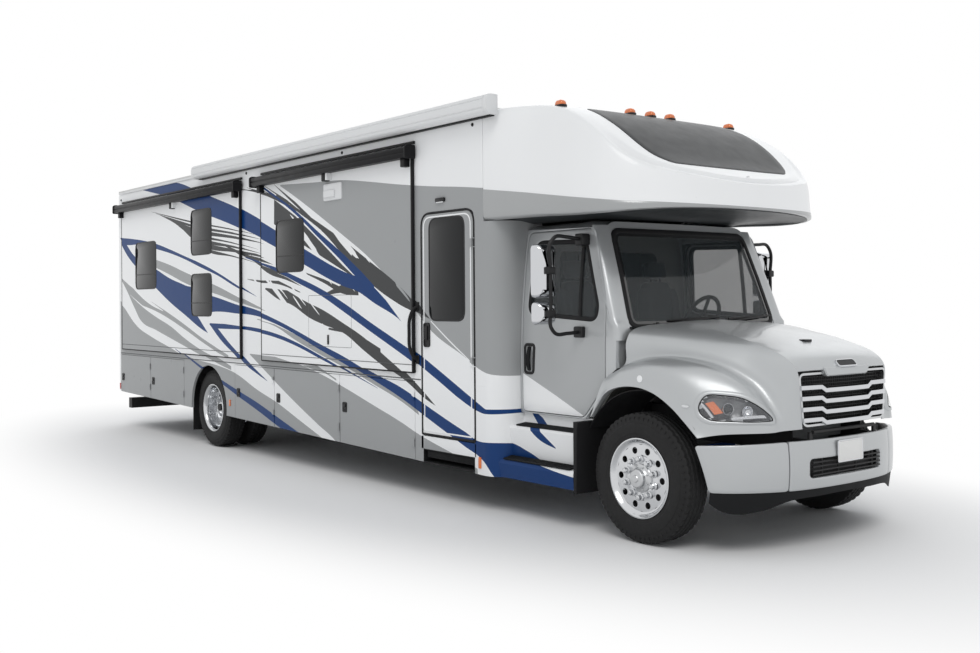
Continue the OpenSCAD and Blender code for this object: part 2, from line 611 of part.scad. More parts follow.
// Corner i of the stair, moved by dy and dz
function nosing(i, dy, dz) = [stair_out + i * stair_run + dy, entry_low + i * stair_rise + dz];
function stair_line(dz) = [for (i = [0 : 2]) each [nosing(i, 0, dz), nosing(i, stair_run, dz)]];
module coach_floor() {
    color(grey) difference() {
        block([back_x, -half_w + wall_t, floor_low], [front_x - wall_t, half_w - wall_t, floor_top]);
        block([entry_rear + 20, -half_w, 0], [-entry_x - 20, stair_y, 2000]);
        // Rounded front corners
        both() difference() {
            block([-corner_x, -half_w, 0], [0, -half_w + corner_r, 2000]);
            translate([-corner_x, -half_w + corner_r, -1]) cylinder(r = corner_r - wall_t, h = 3000, $fn = 96);
        }
    }
    // Stair inside the entry door, with a panel at each side
    color(grey) slab_x(entry_rear + 20, -entry_x - 20) polygon(concat(stair_line(0),
        [[stair_y, floor_top - 1], [stair_y + plate, floor_top - 1], nosing(3, plate, -stair_rise - plate)],
        [for (i = [2 : -1 : 1]) each [nosing(i, plate, -plate), nosing(i, plate, -stair_rise - plate)]], [nosing(0, 0, -plate)]));
    color(grey) for (x = [entry_rear + 19, -entry_x - 19 - plate])
        slab_x(x, x + plate) polygon(concat(stair_line(-5), [[stair_y, floor_low + 10], [stair_out, floor_low + 10]]));
    // Hangers of the outside step, with the ledges that it slides on
    color(steel) for (side = [0, 1]) {
        x = side ? -entry_x - 54 : entry_rear + 40;
        ledge = side ? -entry_x - 80 : entry_rear + 40;
        block([x, -half_w + wall_t + 5, step_z - 15], [x + 14, step_inner, entry_low - plate + 1]);
        block([ledge, -half_w + wall_t + 5, step_z - 15], [ledge + 40, step_inner, step_z - seat_gap]);
    }
}
step_z = 395;      // bottom of the outside step's tread
step_inner = -900; // its inner edge

// Skirts: fixed outer panels, and a backing frame that the baggage doors close on
module skirt_zone(x0, x1) polygon([[x0, skirt_low(x0)], [x1, skirt_low(x1)], [x1, belt_z - 0.5], [x0, belt_z - 0.5]]);
module skirt_side(bays, entry) {
    outer_y = -half_w;
    back_y = outer_y + skirt_t + panel_gap;
    difference() {
        slab_y(outer_y, outer_y + skirt_t) skirt_zone(back_x, -corner_x);
        slab_y(outer_y - 1, outer_y + skirt_t + 1) {
            for (b = bays) rect(b[0] - (b[0] < -coach_rear + 100 ? 60 : 0), 0, b[1], belt_z - 8);
            translate([arch_x, arch_z]) circle(r = arch_r, $fn = 96);
            rect(arch_x - arch_r + 10, 0, arch_x + arch_r - 10, arch_z);
            if (entry) entry_hole();
            if (entry) rect(entry_rear, 0, -entry_x, entry_low);
        }
    }
    difference() {
        slab_y(back_y, back_y + bay_frame) skirt_zone(back_x, -corner_x);
        slab_y(back_y - 1, back_y + bay_frame + 1) {
            for (b = bays) rect(b[0] + 45, skirt_low(b[0]) + 45, b[1] - 45, belt_z - 50);
            translate([arch_x, arch_z]) circle(r = arch_r + 75, $fn = 96);
            rect(arch_x - arch_r - 70, 0, arch_x + arch_r + 70, arch_z);
            if (entry) offset(delta = 8) entry_hole();
            if (entry) rect(entry_rear - 8, 0, -entry_x + 8, entry_low);
        }
    }
    // Ties between the panel and its backing
    for (x = [panel_rear + 40, panel_front - 60, bay_front + 40, -corner_x - 30])
        block([x, outer_y + skirt_t - 1, 700], [x + 20, back_y + 5, 1000]);
    for (b = bays) for (z = [skirt_low(b[1]) + 120, 900])
        hinge_fixed(b[1] - bay_hinge_back, outer_y, z, bay_hinge_back - 0.5, skirt_t + panel_gap + 5);
}
bay_frame = 20;      // thickness of the frame behind the baggage doors
bay_hinge_back = 14; // hinge axis behind the front edge of the door's opening
module skirts() color(grey) {
    skirt_side(right_bays, true);
    left() skirt_side(left_bays, false);
}

module baggage_door(b) color(grey) {
    difference() {
        slab_y(-half_w, -half_w + skirt_t) polygon([[b[0] + panel_gap, skirt_low(b[0])], [b[1] - 8, skirt_low(b[1])],
            [b[1] - 8, belt_z - 14], [b[0] + panel_gap, belt_z - 14]]);
        // Seat of the latch
        translate([b[0] + 100, -half_w - 1, 740]) rotate([-90, 0, 0]) cylinder(r = 30, h = 9);
    }
    for (z = [skirt_low(b[1]) + 120, 900]) hinge_moving(b[1] - bay_hinge_back, -half_w, z);
}

// Luggage bays behind the doors: open trays hung from the floor
module bay(b) {
    low = skirt_low(b[0]) + 25;
    y0 = -half_w + skirt_t + panel_gap + bay_frame + seat_gap;
    difference() {
        block([b[0] + 12, y0, low], [b[1] - 12, -rail_y - 100, rail_top - seat_gap]);
        block([b[0] + 30, y0 - 1, low + 18], [b[1] - 30, -rail_y - 118, rail_top]);
    }
}
module baggage_bays() color(grey) {
    for (b = right_bays) bay([max(b[0], back_x + 10), b[1]]);
    left() for (b = left_bays) bay([max(b[0], back_x + 10), b[1]]);
}

module entry_door() color(grey) {
    face = -half_w;
    difference() {
        slab_y(face, face + entry_t) soft_rect(entry_rear, entry_low, -entry_x, entry_top, 55);
        slab_y(face - 1, face + entry_t + 1) soft_rect(entry_rear + 110, 1640, -entry_x - 130, 2570, 70);
    }
    for (z = entry_hinge_z) hinge_moving(entry_hinge_x, -half_w, z);
}
module entry_door_glass() color(tint) slab_y(-half_w + 10, -half_w + 16) soft_rect(entry_rear + 110, 1640, -entry_x - 130, 2570, 70);

module entry_step() color(black) {
    step_y = -half_w + 30;
    block([entry_rear + 60, step_y, step_z], [-entry_x - 60, step_inner, step_z + 35]);
    block([entry_rear + 30, step_y - 5, step_z - 15], [-entry_x - 30, step_y + 10, step_z + 50]);
}

// ---- Slide-outs: a face that laps the wall, and an open box behind it ----
module slideout(s, windows) {
    face = -half_w - panel_gap;
    face_t = 25;
    x0 = s[0] + slide_lip + 15;
    x1 = s[1] - slide_lip - 15;
    top = slide_top - slide_lip - 15;
    low = floor_top + 40;
    color(pearl) difference() {
        union() {
            slab_y(face - face_t, face) rect(s[0], slide_low, s[1], slide_top);
            slab_y(face - 0.01, -half_w + slide_depth) rect(x0, low, x1, top);
        }
        block([x0 + slide_t, face + slide_t - face_t, low + slide_t], [x1 - slide_t, half_w, top - slide_t]);
        slab_y(face - face_t - 1, face + slide_t + 1) for (w = windows) window_hole(w, 0);
    }
    // Runners that carry it on the floor
    color(steel) for (x = [x0 + 60, (x0 + x1) / 2 - 30, x1 - 120])
        block([x, face, floor_top + seat_gap], [x + 60, -half_w + slide_depth, low + 0.01]);
    // Awning roller over its top edge, with brackets
    color(black) {
        translate([s[0] - 60, face - 75, slide_top + 10]) rotate([0, 90, 0]) cylinder(r = 42, h = s[1] - s[0] + 90);
        for (x = [s[0] + 20, (s[0] + s[1]) / 2, s[1] - 100])
            block([x, face - 80, slide_top - 110], [x + 70, face - 10, slide_top + 5]);
    }
}
module slide_glass(windows) color(tint) slab_y(-half_w - 24, -half_w - 18) for (w = windows) window_hole(w, 0);

module fixed_glass() color(tint) {
    windscreen_axes() block([-36, -899.5, 30.5], [-30, 899.5, screen_len - 20.5]);
    left() slab_y(-half_w + 14, -half_w + 20) for (w = left_windows) window_hole(w, 0);
    slab_x(-coach_rear + 14, -coach_rear + 20) soft_rect(rear_window[0], rear_window[1], rear_window[2], rear_window[3], 60);
}

module roof_units() color(pearl) for (x = [-3600, -8300]) hull() {
    translate([x - 480, -330, wall_top + roof_t + roof_crown]) cube([960, 660, 20]);
    translate([x - 300, -270, wall_top + roof_t + roof_crown + 290]) cube([680, 540, 10]);
}

awning_x = [-coach_rear + 2950, -corner_x + 220];
module awning() color(pearl) slab_x(awning_x[0], awning_x[1]) polygon([[-half_w - 0.3, wall_top - 40], [-half_w - 90, wall_top - 50],
    [-half_w - 135, wall_top - 20], [-half_w - 140, wall_top + 60], [-half_w - 100, wall_top + 110], [-half_w - 0.3, wall_top + 120]]);

module ladder() color(black) {
    x = -coach_rear - 110;
    for (y = [620, 960]) {
        translate([x, y, 950]) cylinder(r = 14, h = wall_top - 850);
        for (z = [1050, wall_top - 120]) translate([x, y, z]) rotate([0, 90, 0]) cylinder(r = 10, h = 110);
    }
    for (i = [0 : 7]) translate([x, 620, 1010 + i * (wall_top - 1100) / 8]) rotate([-90, 0, 0]) cylinder(r = 12, h = 340);
}

module lamps() {
    // Tail lamps
    color([0.7, 0.05, 0.05]) for (y = [-1080, 1080]) slab_x(-coach_rear - 30, -coach_rear) soft_rect(y - 60, 800, y + 60, 1150, 30);
    color([0.7, 0.05, 0.05]) for (y = [-1100, -150, 0, 150, 1100])
        block([-coach_rear - 25, y - 40, wall_top - 60], [-coach_rear, y + 40, wall_top - 30]);
    // Clearance lamps over the nose
    color([0.9, 0.45, 0.1]) difference() {
        for (y = [-1000, -252, 0, 252, 1000]) translate([-960, y, wall_top]) cylinder(r = 35, h = 50);
        overcab_outer();
    }
}

// ---- Wheels, drawn for the right side with the hub at the origin and outwards along -Y ----
tyre_profile = [[rim_r - 12, -tyre_w / 2 + 25], [rim_r + 20, -tyre_w / 2 + 8], [rim_r + 95, -tyre_w / 2], [tyre_r - 55, -tyre_w / 2 + 8],
                [tyre_r - 12, -tyre_w / 2 + 24], [tyre_r, -tyre_w / 2 + 45], [tyre_r, tyre_w / 2 - 45], [tyre_r - 12, tyre_w / 2 - 24],
                [tyre_r - 55, tyre_w / 2 - 8], [rim_r + 95, tyre_w / 2], [rim_r + 20, tyre_w / 2 - 8], [rim_r - 12, tyre_w / 2 - 25]];
module tyre() color(black) rotate([90, 0, 0]) rotate_extrude($fn = 120) polygon(tyre_profile);
module rim(disc_y, bore_r, hub_in, hub_out, hub_r) color(alloy) difference() {
    rotate([90, 0, 0]) rotate_extrude($fn = 96) polygon([[bore_r, hub_in], [hub_r, hub_in], [hub_r, disc_y - 14], [rim_r - 70, disc_y - 14],
        [rim_r - 30, disc_y - 60], [rim_r - 40, -tyre_w / 2 + 40], [rim_r - 15, -tyre_w / 2 + 20], [rim_r - 12.5, -tyre_w / 2 + 20],
        [rim_r - 12.5, tyre_w / 2 - 15], [rim_r - 25, tyre_w / 2 - 15], [rim_r - 30, disc_y + 25], [rim_r - 70, disc_y + 12], [hub_r, disc_y + 12],
        [hub_r - 15, hub_out], [bore_r, hub_out]]);
    for (i = [0 : 9]) rotate([0, i * 36, 0]) translate([0, 0, rim_r - 92]) rotate([90, 0, 0]) cylinder(r = 27, h = 400, center = true, $fn = 24);
}
front_mid = front_tyre_y - tyre_w / 2;
rear_mid = rear_tyre_y - tyre_w / 2;
module at_front() translate([0, -front_mid, tyre_r]) children();
module at_rear() translate([-wheelbase, -rear_mid, tyre_r]) children();
module front_tyre() at_front() tyre();
module front_rim() at_front() rim(85, spindle_r + run_gap, -10, 150, 125);
module rear_tyres() at_rear() { tyre(); translate([0, dual_pitch, 0]) tyre(); }
module rear_rims() at_rear() {
    rim(-60, rear_spindle_r + run_gap, -dual_pitch / 2 + 0.01, 20, 130);
    translate([0, dual_pitch, 0]) mirror([0, 1, 0]) rim(-60, rear_spindle_r + run_gap, -dual_pitch / 2, 20, 130);
}
module knuckle() color(steel) translate([0, -kingpin_y, tyre_r]) {
    cylinder(r = 22, h = 260, center = true);
    for (z = [-125, 95]) block([-45, -70, z], [45, 45, z + 30]);
    block([-55, -80, -125], [55, -55, 125]);
    translate([0, -60, 0]) rotate([90, 0, 0]) cylinder(r = spindle_r, h = front_mid - kingpin_y + 40);
}

// ---- Output ----
place() frame_rails();
place() crossmembers();
place() outriggers();
place() axles();
place() engine();
place() fuel_tank();
place() hitch_receiver();
place() front_bumper();
place() { cab_shell(); color(silver) both() cab_hinges(); }
place() fixed_glass();
place() seats();
place() dashboard();
place() cab_steps();
place() coach_floor();
place() side_walls();
place() rear_wall();
place() roof();
place() overcab();
place() skirts();
place() baggage_bays();
place() roof_units();
place() awning();
place() ladder();
place() lamps();
place() hood();
place() grille();
place() headlamps();
place() cab_door();  // cab_door_right
place() cab_door_glass();  // cab_door_right_glass
place() mirror_unit();  // mirror_right
place() left() cab_door();  // cab_door_left
place() left() cab_door_glass();  // cab_door_left_glass
place() left() mirror_unit();  // mirror_left
place() entry_door();
place() entry_door_glass();
place() entry_step();
place() slideout(slide_right_front, front_slide_windows);  // slideout_right_front
place() slide_glass(front_slide_windows);  // slideout_right_front_glass
place() slideout(slide_right_rear, rear_slide_windows);  // slideout_right_rear
place() slide_glass(rear_slide_windows);  // slideout_right_rear_glass
place() left() slideout(slide_left, left_slide_windows);  // slideout_left
place() left() slide_glass(left_slide_windows);  // slideout_left_glass
place() knuckle();  // knuckle_right
place() left() knuckle();  // knuckle_left
place() front_tyre();  // tyre_front_right
place() front_rim();  // rim_front_right
place() left() front_tyre();  // tyre_front_left
place() left() front_rim();  // rim_front_left
place() rear_tyres();  // tyres_rear_right
place() rear_rims();  // rims_rear_right
place() left() rear_tyres();  // tyres_rear_left
place() left() rear_rims();  // rims_rear_left
for (i = [0 : 4]) place() baggage_door(right_bays[i]);
for (i = [0 : 2]) place() left() baggage_door(left_bays[i]);
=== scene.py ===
# %% [markdown]
# # A motorhome with slide-out rooms on a bonneted truck chassis
#
# The frame that this script loads holds every panel, wheel and hinge at its true size. The cells below give those
# parts their finishes, and stand finely shaped pieces in front of the plain ones: the bonnet, the cab, the nose
# over it, the wheels, the glass and the fittings. Each new piece is a surface worked out with numpy: a formula or
# a few chosen curves give a grid of points, and the grid becomes a mesh in one call.

# %% Load the frame
import math

import bmesh
import bpy
import numpy as np
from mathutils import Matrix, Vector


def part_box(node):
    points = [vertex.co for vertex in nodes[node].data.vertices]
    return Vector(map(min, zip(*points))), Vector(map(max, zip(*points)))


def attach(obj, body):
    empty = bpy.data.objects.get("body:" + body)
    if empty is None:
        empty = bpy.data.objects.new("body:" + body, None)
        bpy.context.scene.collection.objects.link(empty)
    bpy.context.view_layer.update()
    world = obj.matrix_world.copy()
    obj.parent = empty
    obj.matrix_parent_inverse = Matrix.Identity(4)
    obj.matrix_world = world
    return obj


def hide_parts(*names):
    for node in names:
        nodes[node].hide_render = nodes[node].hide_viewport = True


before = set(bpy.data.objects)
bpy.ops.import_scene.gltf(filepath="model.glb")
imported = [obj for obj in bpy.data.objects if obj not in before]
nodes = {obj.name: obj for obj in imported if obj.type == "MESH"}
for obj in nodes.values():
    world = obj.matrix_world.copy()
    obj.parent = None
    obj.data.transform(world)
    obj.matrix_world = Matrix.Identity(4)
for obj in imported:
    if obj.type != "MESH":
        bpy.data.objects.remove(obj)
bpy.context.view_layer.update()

# %% [markdown]
# ## Measuring from the frame
#
# A truck's drawings count lengths from the front axle, so the shapes here do too: x = 0 is the front axle, +X is
# forward, +Y is the vehicle's left and the ground is z = 0. AXLE is where that axle lies in the frame. The side
# that has the entry door is the right one, at negative y, and most pieces are drawn there and mirrored.

# %% Sizes taken from the frame
def span(node):
    """Lowest and highest corner of a CAD node as arrays, with x counted from the front axle."""
    low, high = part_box(node)
    shift = np.array([AXLE, 0, 0])
    return np.array(low) - shift, np.array(high) - shift


low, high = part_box("tyre_front_right")
AXLE = (low.x + high.x) / 2
TYRE_R = (high.z - low.z) / 2
HALF_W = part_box("rear_wall")[1].y
REAR_X = span("rear_wall")[0][0] + 0.010
WALL_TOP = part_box("rear_wall")[1].z
REAR_AXLE = (span("tyres_rear_right")[0][0] + span("tyres_rear_right")[1][0]) / 2
SIDES = {"right": -1, "left": 1}
print("axle", round(AXLE, 3), "half width", round(HALF_W, 4), "rear", round(REAR_X, 3))

# %% [markdown]
# ## Tools for surfaces
#
# A part is a pair: an array of points, and a list of face arrays that count into it. A grid of points gives
# quads, a closed outline gives one flat face, and `make` joins parts into one mesh. Every part is closed, so
# that its faces can be turned outwards and its wall has a real thickness.

# %% Curves
def spline(points, samples, knots=None):
    """Smooth curve through points: cubic Hermite pieces whose slope at each point is the mean of the slopes on
    its two sides, weighted by the other side's length. knots are the curve's parameter at the points."""
    p = np.asarray(points, float)
    flat = p.reshape(len(p), -1)
    if knots is None:
        gaps = np.linalg.norm(np.diff(flat, axis=0), axis=1)
        knots = np.concatenate([[0], np.cumsum(gaps)]) / gaps.sum()
    k = np.asarray(knots, float)
    h = np.diff(k)[:, None]
    slope = np.diff(flat, axis=0) / h
    tangent = np.vstack([slope[:1], (slope[:-1] * h[1:] + slope[1:] * h[:-1]) / (h[1:] + h[:-1]), slope[-1:]])
    t = np.linspace(k[0], k[-1], samples) if np.isscalar(samples) else np.asarray(samples, float)
    i = np.clip(np.searchsorted(k, t, side="right") - 1, 0, len(k) - 2)
    s = ((t - k[i]) / (k[i + 1] - k[i]))[:, None]
    w = k[i + 1][:, None] - k[i][:, None]
    out = ((1 + 2 * s) * (1 - s) ** 2 * flat[i] + s * (1 - s) ** 2 * w * tangent[i]
           + s * s * (3 - 2 * s) * flat[i + 1] - s * s * (1 - s) * w * tangent[i + 1])
    return out.reshape((len(t),) + p.shape[1:])


def rounded_outline(corners, radius, steps=6):
    """Closed outline with each corner replaced by a curve: a quadratic Bezier from radius before the corner to
    radius after it, with the corner as its middle control point."""
    c = np.asarray(corners, float)
    before, after = np.roll(c, 1, 0) - c, np.roll(c, -1, 0) - c
    r = np.broadcast_to(np.asarray(radius, float), (len(c),))
    def towards(d):
        length = np.linalg.norm(d, axis=1)
        return c + d * (np.minimum(r, 0.49 * length) / length)[:, None]
    start, end = towards(before), towards(after)
    t = np.linspace(0, 1, steps)[None, :, None]
    curve = (1 - t) ** 2 * start[:, None] + 2 * t * (1 - t) * c[:, None] + t ** 2 * end[:, None]
    return curve.reshape(-1, 2)


def rectangle(a0, b0, a1, b1, radius, steps=6):
    """Rounded rectangle between two corners."""
    return rounded_outline([(a0, b0), (a1, b0), (a1, b1), (a0, b1)], radius, steps)


def circle(a, b, radius, steps=48):
    """Points of a circle."""
    t = np.linspace(0, 2 * np.pi, steps, endpoint=False)
    return np.stack([a + radius * np.cos(t), b + radius * np.sin(t)], 1)


def inset(outline, distance):
    """Outline moved inwards: each point goes along the mitre of the normals of the two edges that meet there."""
    o = np.asarray(outline, float)
    edge = np.roll(o, -1, 0) - o
    length = np.linalg.norm(edge, axis=1, keepdims=True)
    edge = edge / np.maximum(length, 1e-9)
    area = 0.5 * np.sum(o[:, 0] * np.roll(o[:, 1], -1) - np.roll(o[:, 0], -1) * o[:, 1])
    normal = np.stack([-edge[:, 1], edge[:, 0]], 1) * (1 if area > 0 else -1)
    mitre = normal + np.roll(normal, 1, 0)
    mitre /= np.maximum(np.linalg.norm(mitre, axis=1, keepdims=True), 1e-9)
    reach = distance / np.clip(np.sum(mitre * normal, 1, keepdims=True), 0.5, 1)
    return o + mitre * reach


def polar(outline, centre, angles):
    """Outline read at given angles about a point that sees all of it."""
    o = np.vstack([outline, outline[:1]])
    run = np.concatenate([[0], np.cumsum(np.linalg.norm(np.diff(o, axis=0), axis=1))])
    t = np.linspace(0, run[-1], 3000, endpoint=False)
    d = np.stack([np.interp(t, run, o[:, k]) for k in (0, 1)], 1) - centre
    a = np.arctan2(d[:, 1], d[:, 0])
    order = np.argsort(a)
    r = np.interp(angles, a[order], np.hypot(*d.T)[order], period=2 * np.pi)
    return centre + r[:, None] * np.stack([np.cos(angles), np.sin(angles)], 1)


def matched(outer, inner, count=120):
    """Two outlines as rings with the same number of points, seen from the middle of the inner one. The corners
    of both are kept."""
    outer, inner = np.asarray(outer, float), np.asarray(inner, float)
    centre = (inner.min(0) + inner.max(0)) / 2
    corners = [np.arctan2(*(o - centre).T[::-1]) for o in (outer, inner)]
    angles = np.unique(np.round(np.concatenate([np.linspace(-np.pi, np.pi, count, endpoint=False)] + corners), 4))
    return polar(outer, centre, angles), polar(inner, centre, angles)


# %% Panels on a surface
def on_surface(surface, flat, lift=0.0):
    """Points of a surface at flat (a, b) parameters, raised along its normal by lift. The normal is the cross
    product of two short steps, one in a and one in b."""
    flat = np.asarray(flat, float)
    e = 1e-3
    p = surface(flat)
    n = np.cross(surface(flat + [e, 0]) - surface(flat - [e, 0]), surface(flat + [0, e]) - surface(flat - [0, e]))
    n /= np.linalg.norm(n, axis=-1, keepdims=True)
    return p + n * np.asarray(lift, float)[..., None]


def between(outer, inner, count):
    """Rings from outer to inner, count of them, by straight blends."""
    t = np.linspace(0, 1, count)[:, None, None]
    return (1 - t) * outer + t * inner


def panel(outer, inner, surface, thickness, count=8, rim=0.0, raised=0.0):
    """Panel between an outline and a hole, laid on a surface and closed all round. Both outlines have the same
    number of points. rim rounds its borders over that width, raised lifts it off the surface."""
    rings = between(outer, inner, count)
    lift = np.full(count, raised)
    if rim:
        rings = np.concatenate([outer[None], inset(outer, 0.3 * rim)[None], between(inset(outer, rim), inset(inner, -rim), count),
                                inset(inner, -0.3 * rim)[None], inner[None]])
        lift = np.concatenate([[raised - rim, raised - 0.3 * rim], np.full(count, raised), [raised - 0.3 * rim, raised - rim]])
    lift = np.broadcast_to(lift[:, None], rings.shape[:2])
    top, under = on_surface(surface, rings, lift), on_surface(surface, rings, lift * 0 + raised - max(thickness, rim * 1.5))
    return grid(np.concatenate([top, under[::-1]]), close_u=True, close_v=True)


def pane(outline, surface, thickness, count=7, rim=0.0, raised=0.0):
    """Panel without a hole: its rings shrink towards the middle."""
    o = np.asarray(outline, float)
    centre = (o.min(0) + o.max(0)) / 2
    start = inset(o, rim) if rim else o
    rings = between(start, centre + (start - centre) * 0.02, count)
    lift = np.full(count, raised)
    if rim:
        rings = np.concatenate([o[None], inset(o, 0.3 * rim)[None], rings])
        lift = np.concatenate([[raised - rim, raised - 0.3 * rim], lift])
    lift = np.broadcast_to(lift[:, None], rings.shape[:2])
    top, under = on_surface(surface, rings, lift), on_surface(surface, rings, lift * 0 + raised - max(thickness, rim * 1.5))
    return capped(np.concatenate([under[::-1], top]))


# %% Parts
def grid(points, close_u=False, close_v=False):
    """Part from points[u, v]: each cell of the grid is a quad, and a closed direction joins its ends."""
    nu, nv = points.shape[:2]
    index = np.arange(nu * nv).reshape(nu, nv)
    if close_u:
        index = np.vstack([index, index[:1]])
    if close_v:
        index = np.hstack([index, index[:, :1]])
    quads = np.stack([index[:-1, :-1], index[1:, :-1], index[1:, 1:], index[:-1, 1:]], -1).reshape(-1, 4)
    return points.reshape(-1, 3), [quads]


def capped(points):
    """Grid of closed rings points[ring, around] whose first and last rings are closed by flat faces."""
    part, faces = grid(points, close_v=True)
    n, last = points.shape[1], len(part) - points.shape[1]
    return part, faces + [np.arange(n)[None], (last + np.arange(n))[None]]


def normals(points, close_v=False):
    """Unit normals of a grid: the cross product of its two directions."""
    du = np.gradient(points, axis=0)
    if close_v:
        dv = np.roll(points, -1, 1) - np.roll(points, 1, 1)
    else:
        dv = np.gradient(points, axis=1)
    n = np.cross(du, dv)
    return n / np.maximum(np.linalg.norm(n, axis=2, keepdims=True), 1e-9)


def shell(points, thickness, facing, close_v=False):
    """Wall of a thickness behind a grid. facing is a direction that the outer face looks along at its middle."""
    n = normals(points, close_v)
    middle = n[points.shape[0] // 2, points.shape[1] // 2]
    if np.dot(middle, facing) < 0:
        n = -n
    inner = points - n * thickness
    loop = np.stack([points, inner])
    nu, nv = points.shape[:2]
    parts = [grid(points, close_v=close_v), grid(inner, close_v=close_v), grid(loop[:, 0], False, close_v),
             grid(loop[:, -1], False, close_v)]
    if not close_v:
        parts += [grid(loop[:, :, 0]), grid(loop[:, :, -1])]
    return join(parts)


def join(parts):
    """Several parts as one."""
    points, faces, base = [], [], 0
    for p, f in parts:
        points.append(p)
        faces += [a + base for a in f]
        base += len(p)
    return np.vstack(points), faces


def mirrored(part):
    """The same part on the other side of the vehicle."""
    points, faces = part
    return points * [1, -1, 1], [f[:, ::-1] for f in faces]


def both(part):
    return join([part, mirrored(part)])


AXIS_ORDER = {"x": [2, 0, 1], "y": [0, 2, 1], "z": [0, 1, 2]}


def moulding(outline, axis, section, closed=False):
    """Profile carried round an outline: each (inset, level) of the section is one ring. The outline lies in the
    plane across axis, in x, y, z order, and a section that isn't closed ends in two flat faces."""
    rings = [np.column_stack([inset(outline, d), np.full(len(outline), level)]) for d, level in section]
    order = AXIS_ORDER[axis]
    points = np.stack(rings)[:, :, order]
    if closed:
        return grid(points, close_u=True, close_v=True)
    return capped(points)


def plate(outline, axis, low, high, edge=0.0, steps=3):
    """Flat plate between two levels, with the edges of both faces rounded to a quarter circle of radius edge."""
    if edge <= 0:
        return moulding(outline, axis, [(0, low), (0, high)])
    a = np.linspace(0, np.pi / 2, steps)
    first = [(edge * (1 - np.sin(t)), low + edge * (1 - np.cos(t))) for t in a]
    return moulding(outline, axis, first + [(d, low + high - level) for d, level in first[::-1]])


def block(low, high, edge=0.004):
    """Box between two corners with rounded edges."""
    low, high = np.minimum(low, high), np.maximum(low, high)
    r = min(edge, 0.49 * (high - low).min())
    return plate(rectangle(low[0], low[1], high[0], high[1], r, 4), "z", low[2], high[2], r)


def ring(outline, width, axis, low, high, edge=0.002):
    """Flat frame round an outline, width wide inwards, with its outer corners broken by edge."""
    return moulding(outline, axis, [(0, low), (0, high - edge), (edge, high), (width - edge, high),
                                    (width, high - edge), (width, low)], closed=True)


def tube(path, radius, sides=14, loop=False):
    """Circle carried along a path. The circle's frame comes from the path's direction and the normal of the
    plane that the path lies closest to. radius may change along the path."""
    p = np.asarray(path, float)
    d = np.roll(p, -1, 0) - np.roll(p, 1, 0) if loop else np.gradient(p, axis=0)
    d /= np.linalg.norm(d, axis=1, keepdims=True)
    flat = np.linalg.svd(p - p.mean(0))[2][2]
    a = np.cross(d, np.broadcast_to(flat, d.shape))
    a /= np.linalg.norm(a, axis=1, keepdims=True)
    b = np.cross(d, a)
    t = np.linspace(0, 2 * np.pi, sides, endpoint=False)
    r = np.broadcast_to(np.asarray(radius, float), (len(p),))[:, None, None]
    rings = p[:, None] + r * (np.cos(t)[None, :, None] * a[:, None] + np.sin(t)[None, :, None] * b[:, None])
    return grid(rings, close_u=True, close_v=True) if loop else capped(rings)


def rod(start, end, radius, sides=14):
    """Straight round bar."""
    return tube(np.linspace(start, end, 3), radius, sides)


def lathe(profile, centre, axis="y", steps=72):
    """Surface of revolution: profile gives (radius, distance along the axis) and closes on itself when its ends
    are both off the axis."""
    q = np.asarray(profile, float)
    t = np.linspace(0, 2 * np.pi, steps, endpoint=False)
    u, v = np.cos(t)[None] * q[:, :1], np.sin(t)[None] * q[:, :1]
    along = np.broadcast_to(q[:, 1:], u.shape)
    points = np.stack({"x": (along, u, v), "y": (u, along, v), "z": (u, v, along)}[axis], -1) + centre
    if q[0, 0] > 1e-6 and q[-1, 0] > 1e-6:
        return grid(points, close_u=True, close_v=True)
    return grid(points, close_v=True)


def turned(part, angle, centre, axis="y"):
    """Part turned about an axis through centre, in degrees."""
    a = math.radians(angle)
    c, s = math.cos(a), math.sin(a)
    m = {"x": [[1, 0, 0], [0, c, -s], [0, s, c]], "y": [[c, 0, s], [0, 1, 0], [-s, 0, c]],
         "z": [[c, -s, 0], [s, c, 0], [0, 0, 1]]}[axis]
    return (part[0] - centre) @ np.array(m).T + centre, part[1]


def moved(part, offset):
    return part[0] + np.asarray(offset, float), part[1]


# %% From parts to an object
PIECES = {}


def make(name, parts, material, body, replaces=(), sharp=35):
    """One mesh object from parts, in the frame's own place: doubles are merged, faces turned outwards, and edges
    that turn by more than sharp degrees stay crisp. It rides on body and takes the place of CAD nodes."""
    points, faces = join(parts if isinstance(parts, list) else [parts])
    corners = np.concatenate([f.ravel() for f in faces])
    sizes = np.concatenate([np.full(len(f), f.shape[1]) for f in faces])
    mesh = bpy.data.meshes.new(name)
    mesh.vertices.add(len(points))
    mesh.vertices.foreach_set("co", (points + [AXLE, 0, 0]).astype(np.float32).ravel())
    mesh.loops.add(len(corners))
    mesh.loops.foreach_set("vertex_index", corners.astype(np.int32))
    mesh.polygons.add(len(sizes))
    mesh.polygons.foreach_set("loop_start", (np.cumsum(sizes) - sizes).astype(np.int32))
    mesh.polygons.foreach_set("loop_total", sizes.astype(np.int32))
    mesh.update(calc_edges=True)
    mesh.validate()
    b = bmesh.new()
    b.from_mesh(mesh)
    bmesh.ops.remove_doubles(b, verts=b.verts, dist=2e-5)
    bmesh.ops.dissolve_degenerate(b, edges=b.edges, dist=1e-5)
    bmesh.ops.recalc_face_normals(b, faces=b.faces)
    b.to_mesh(mesh)
    b.free()
    mesh.polygons.foreach_set("use_smooth", np.ones(len(mesh.polygons), bool))
    mesh.set_sharp_from_angle(angle=math.radians(sharp))
    obj = bpy.data.objects.new(name, mesh)
    bpy.context.scene.collection.objects.link(obj)
    mesh.materials.append(material)
    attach(obj, body)
    if replaces:
        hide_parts(*([replaces] if isinstance(replaces, str) else replaces))
    PIECES[name] = len(mesh.polygons)
    return obj

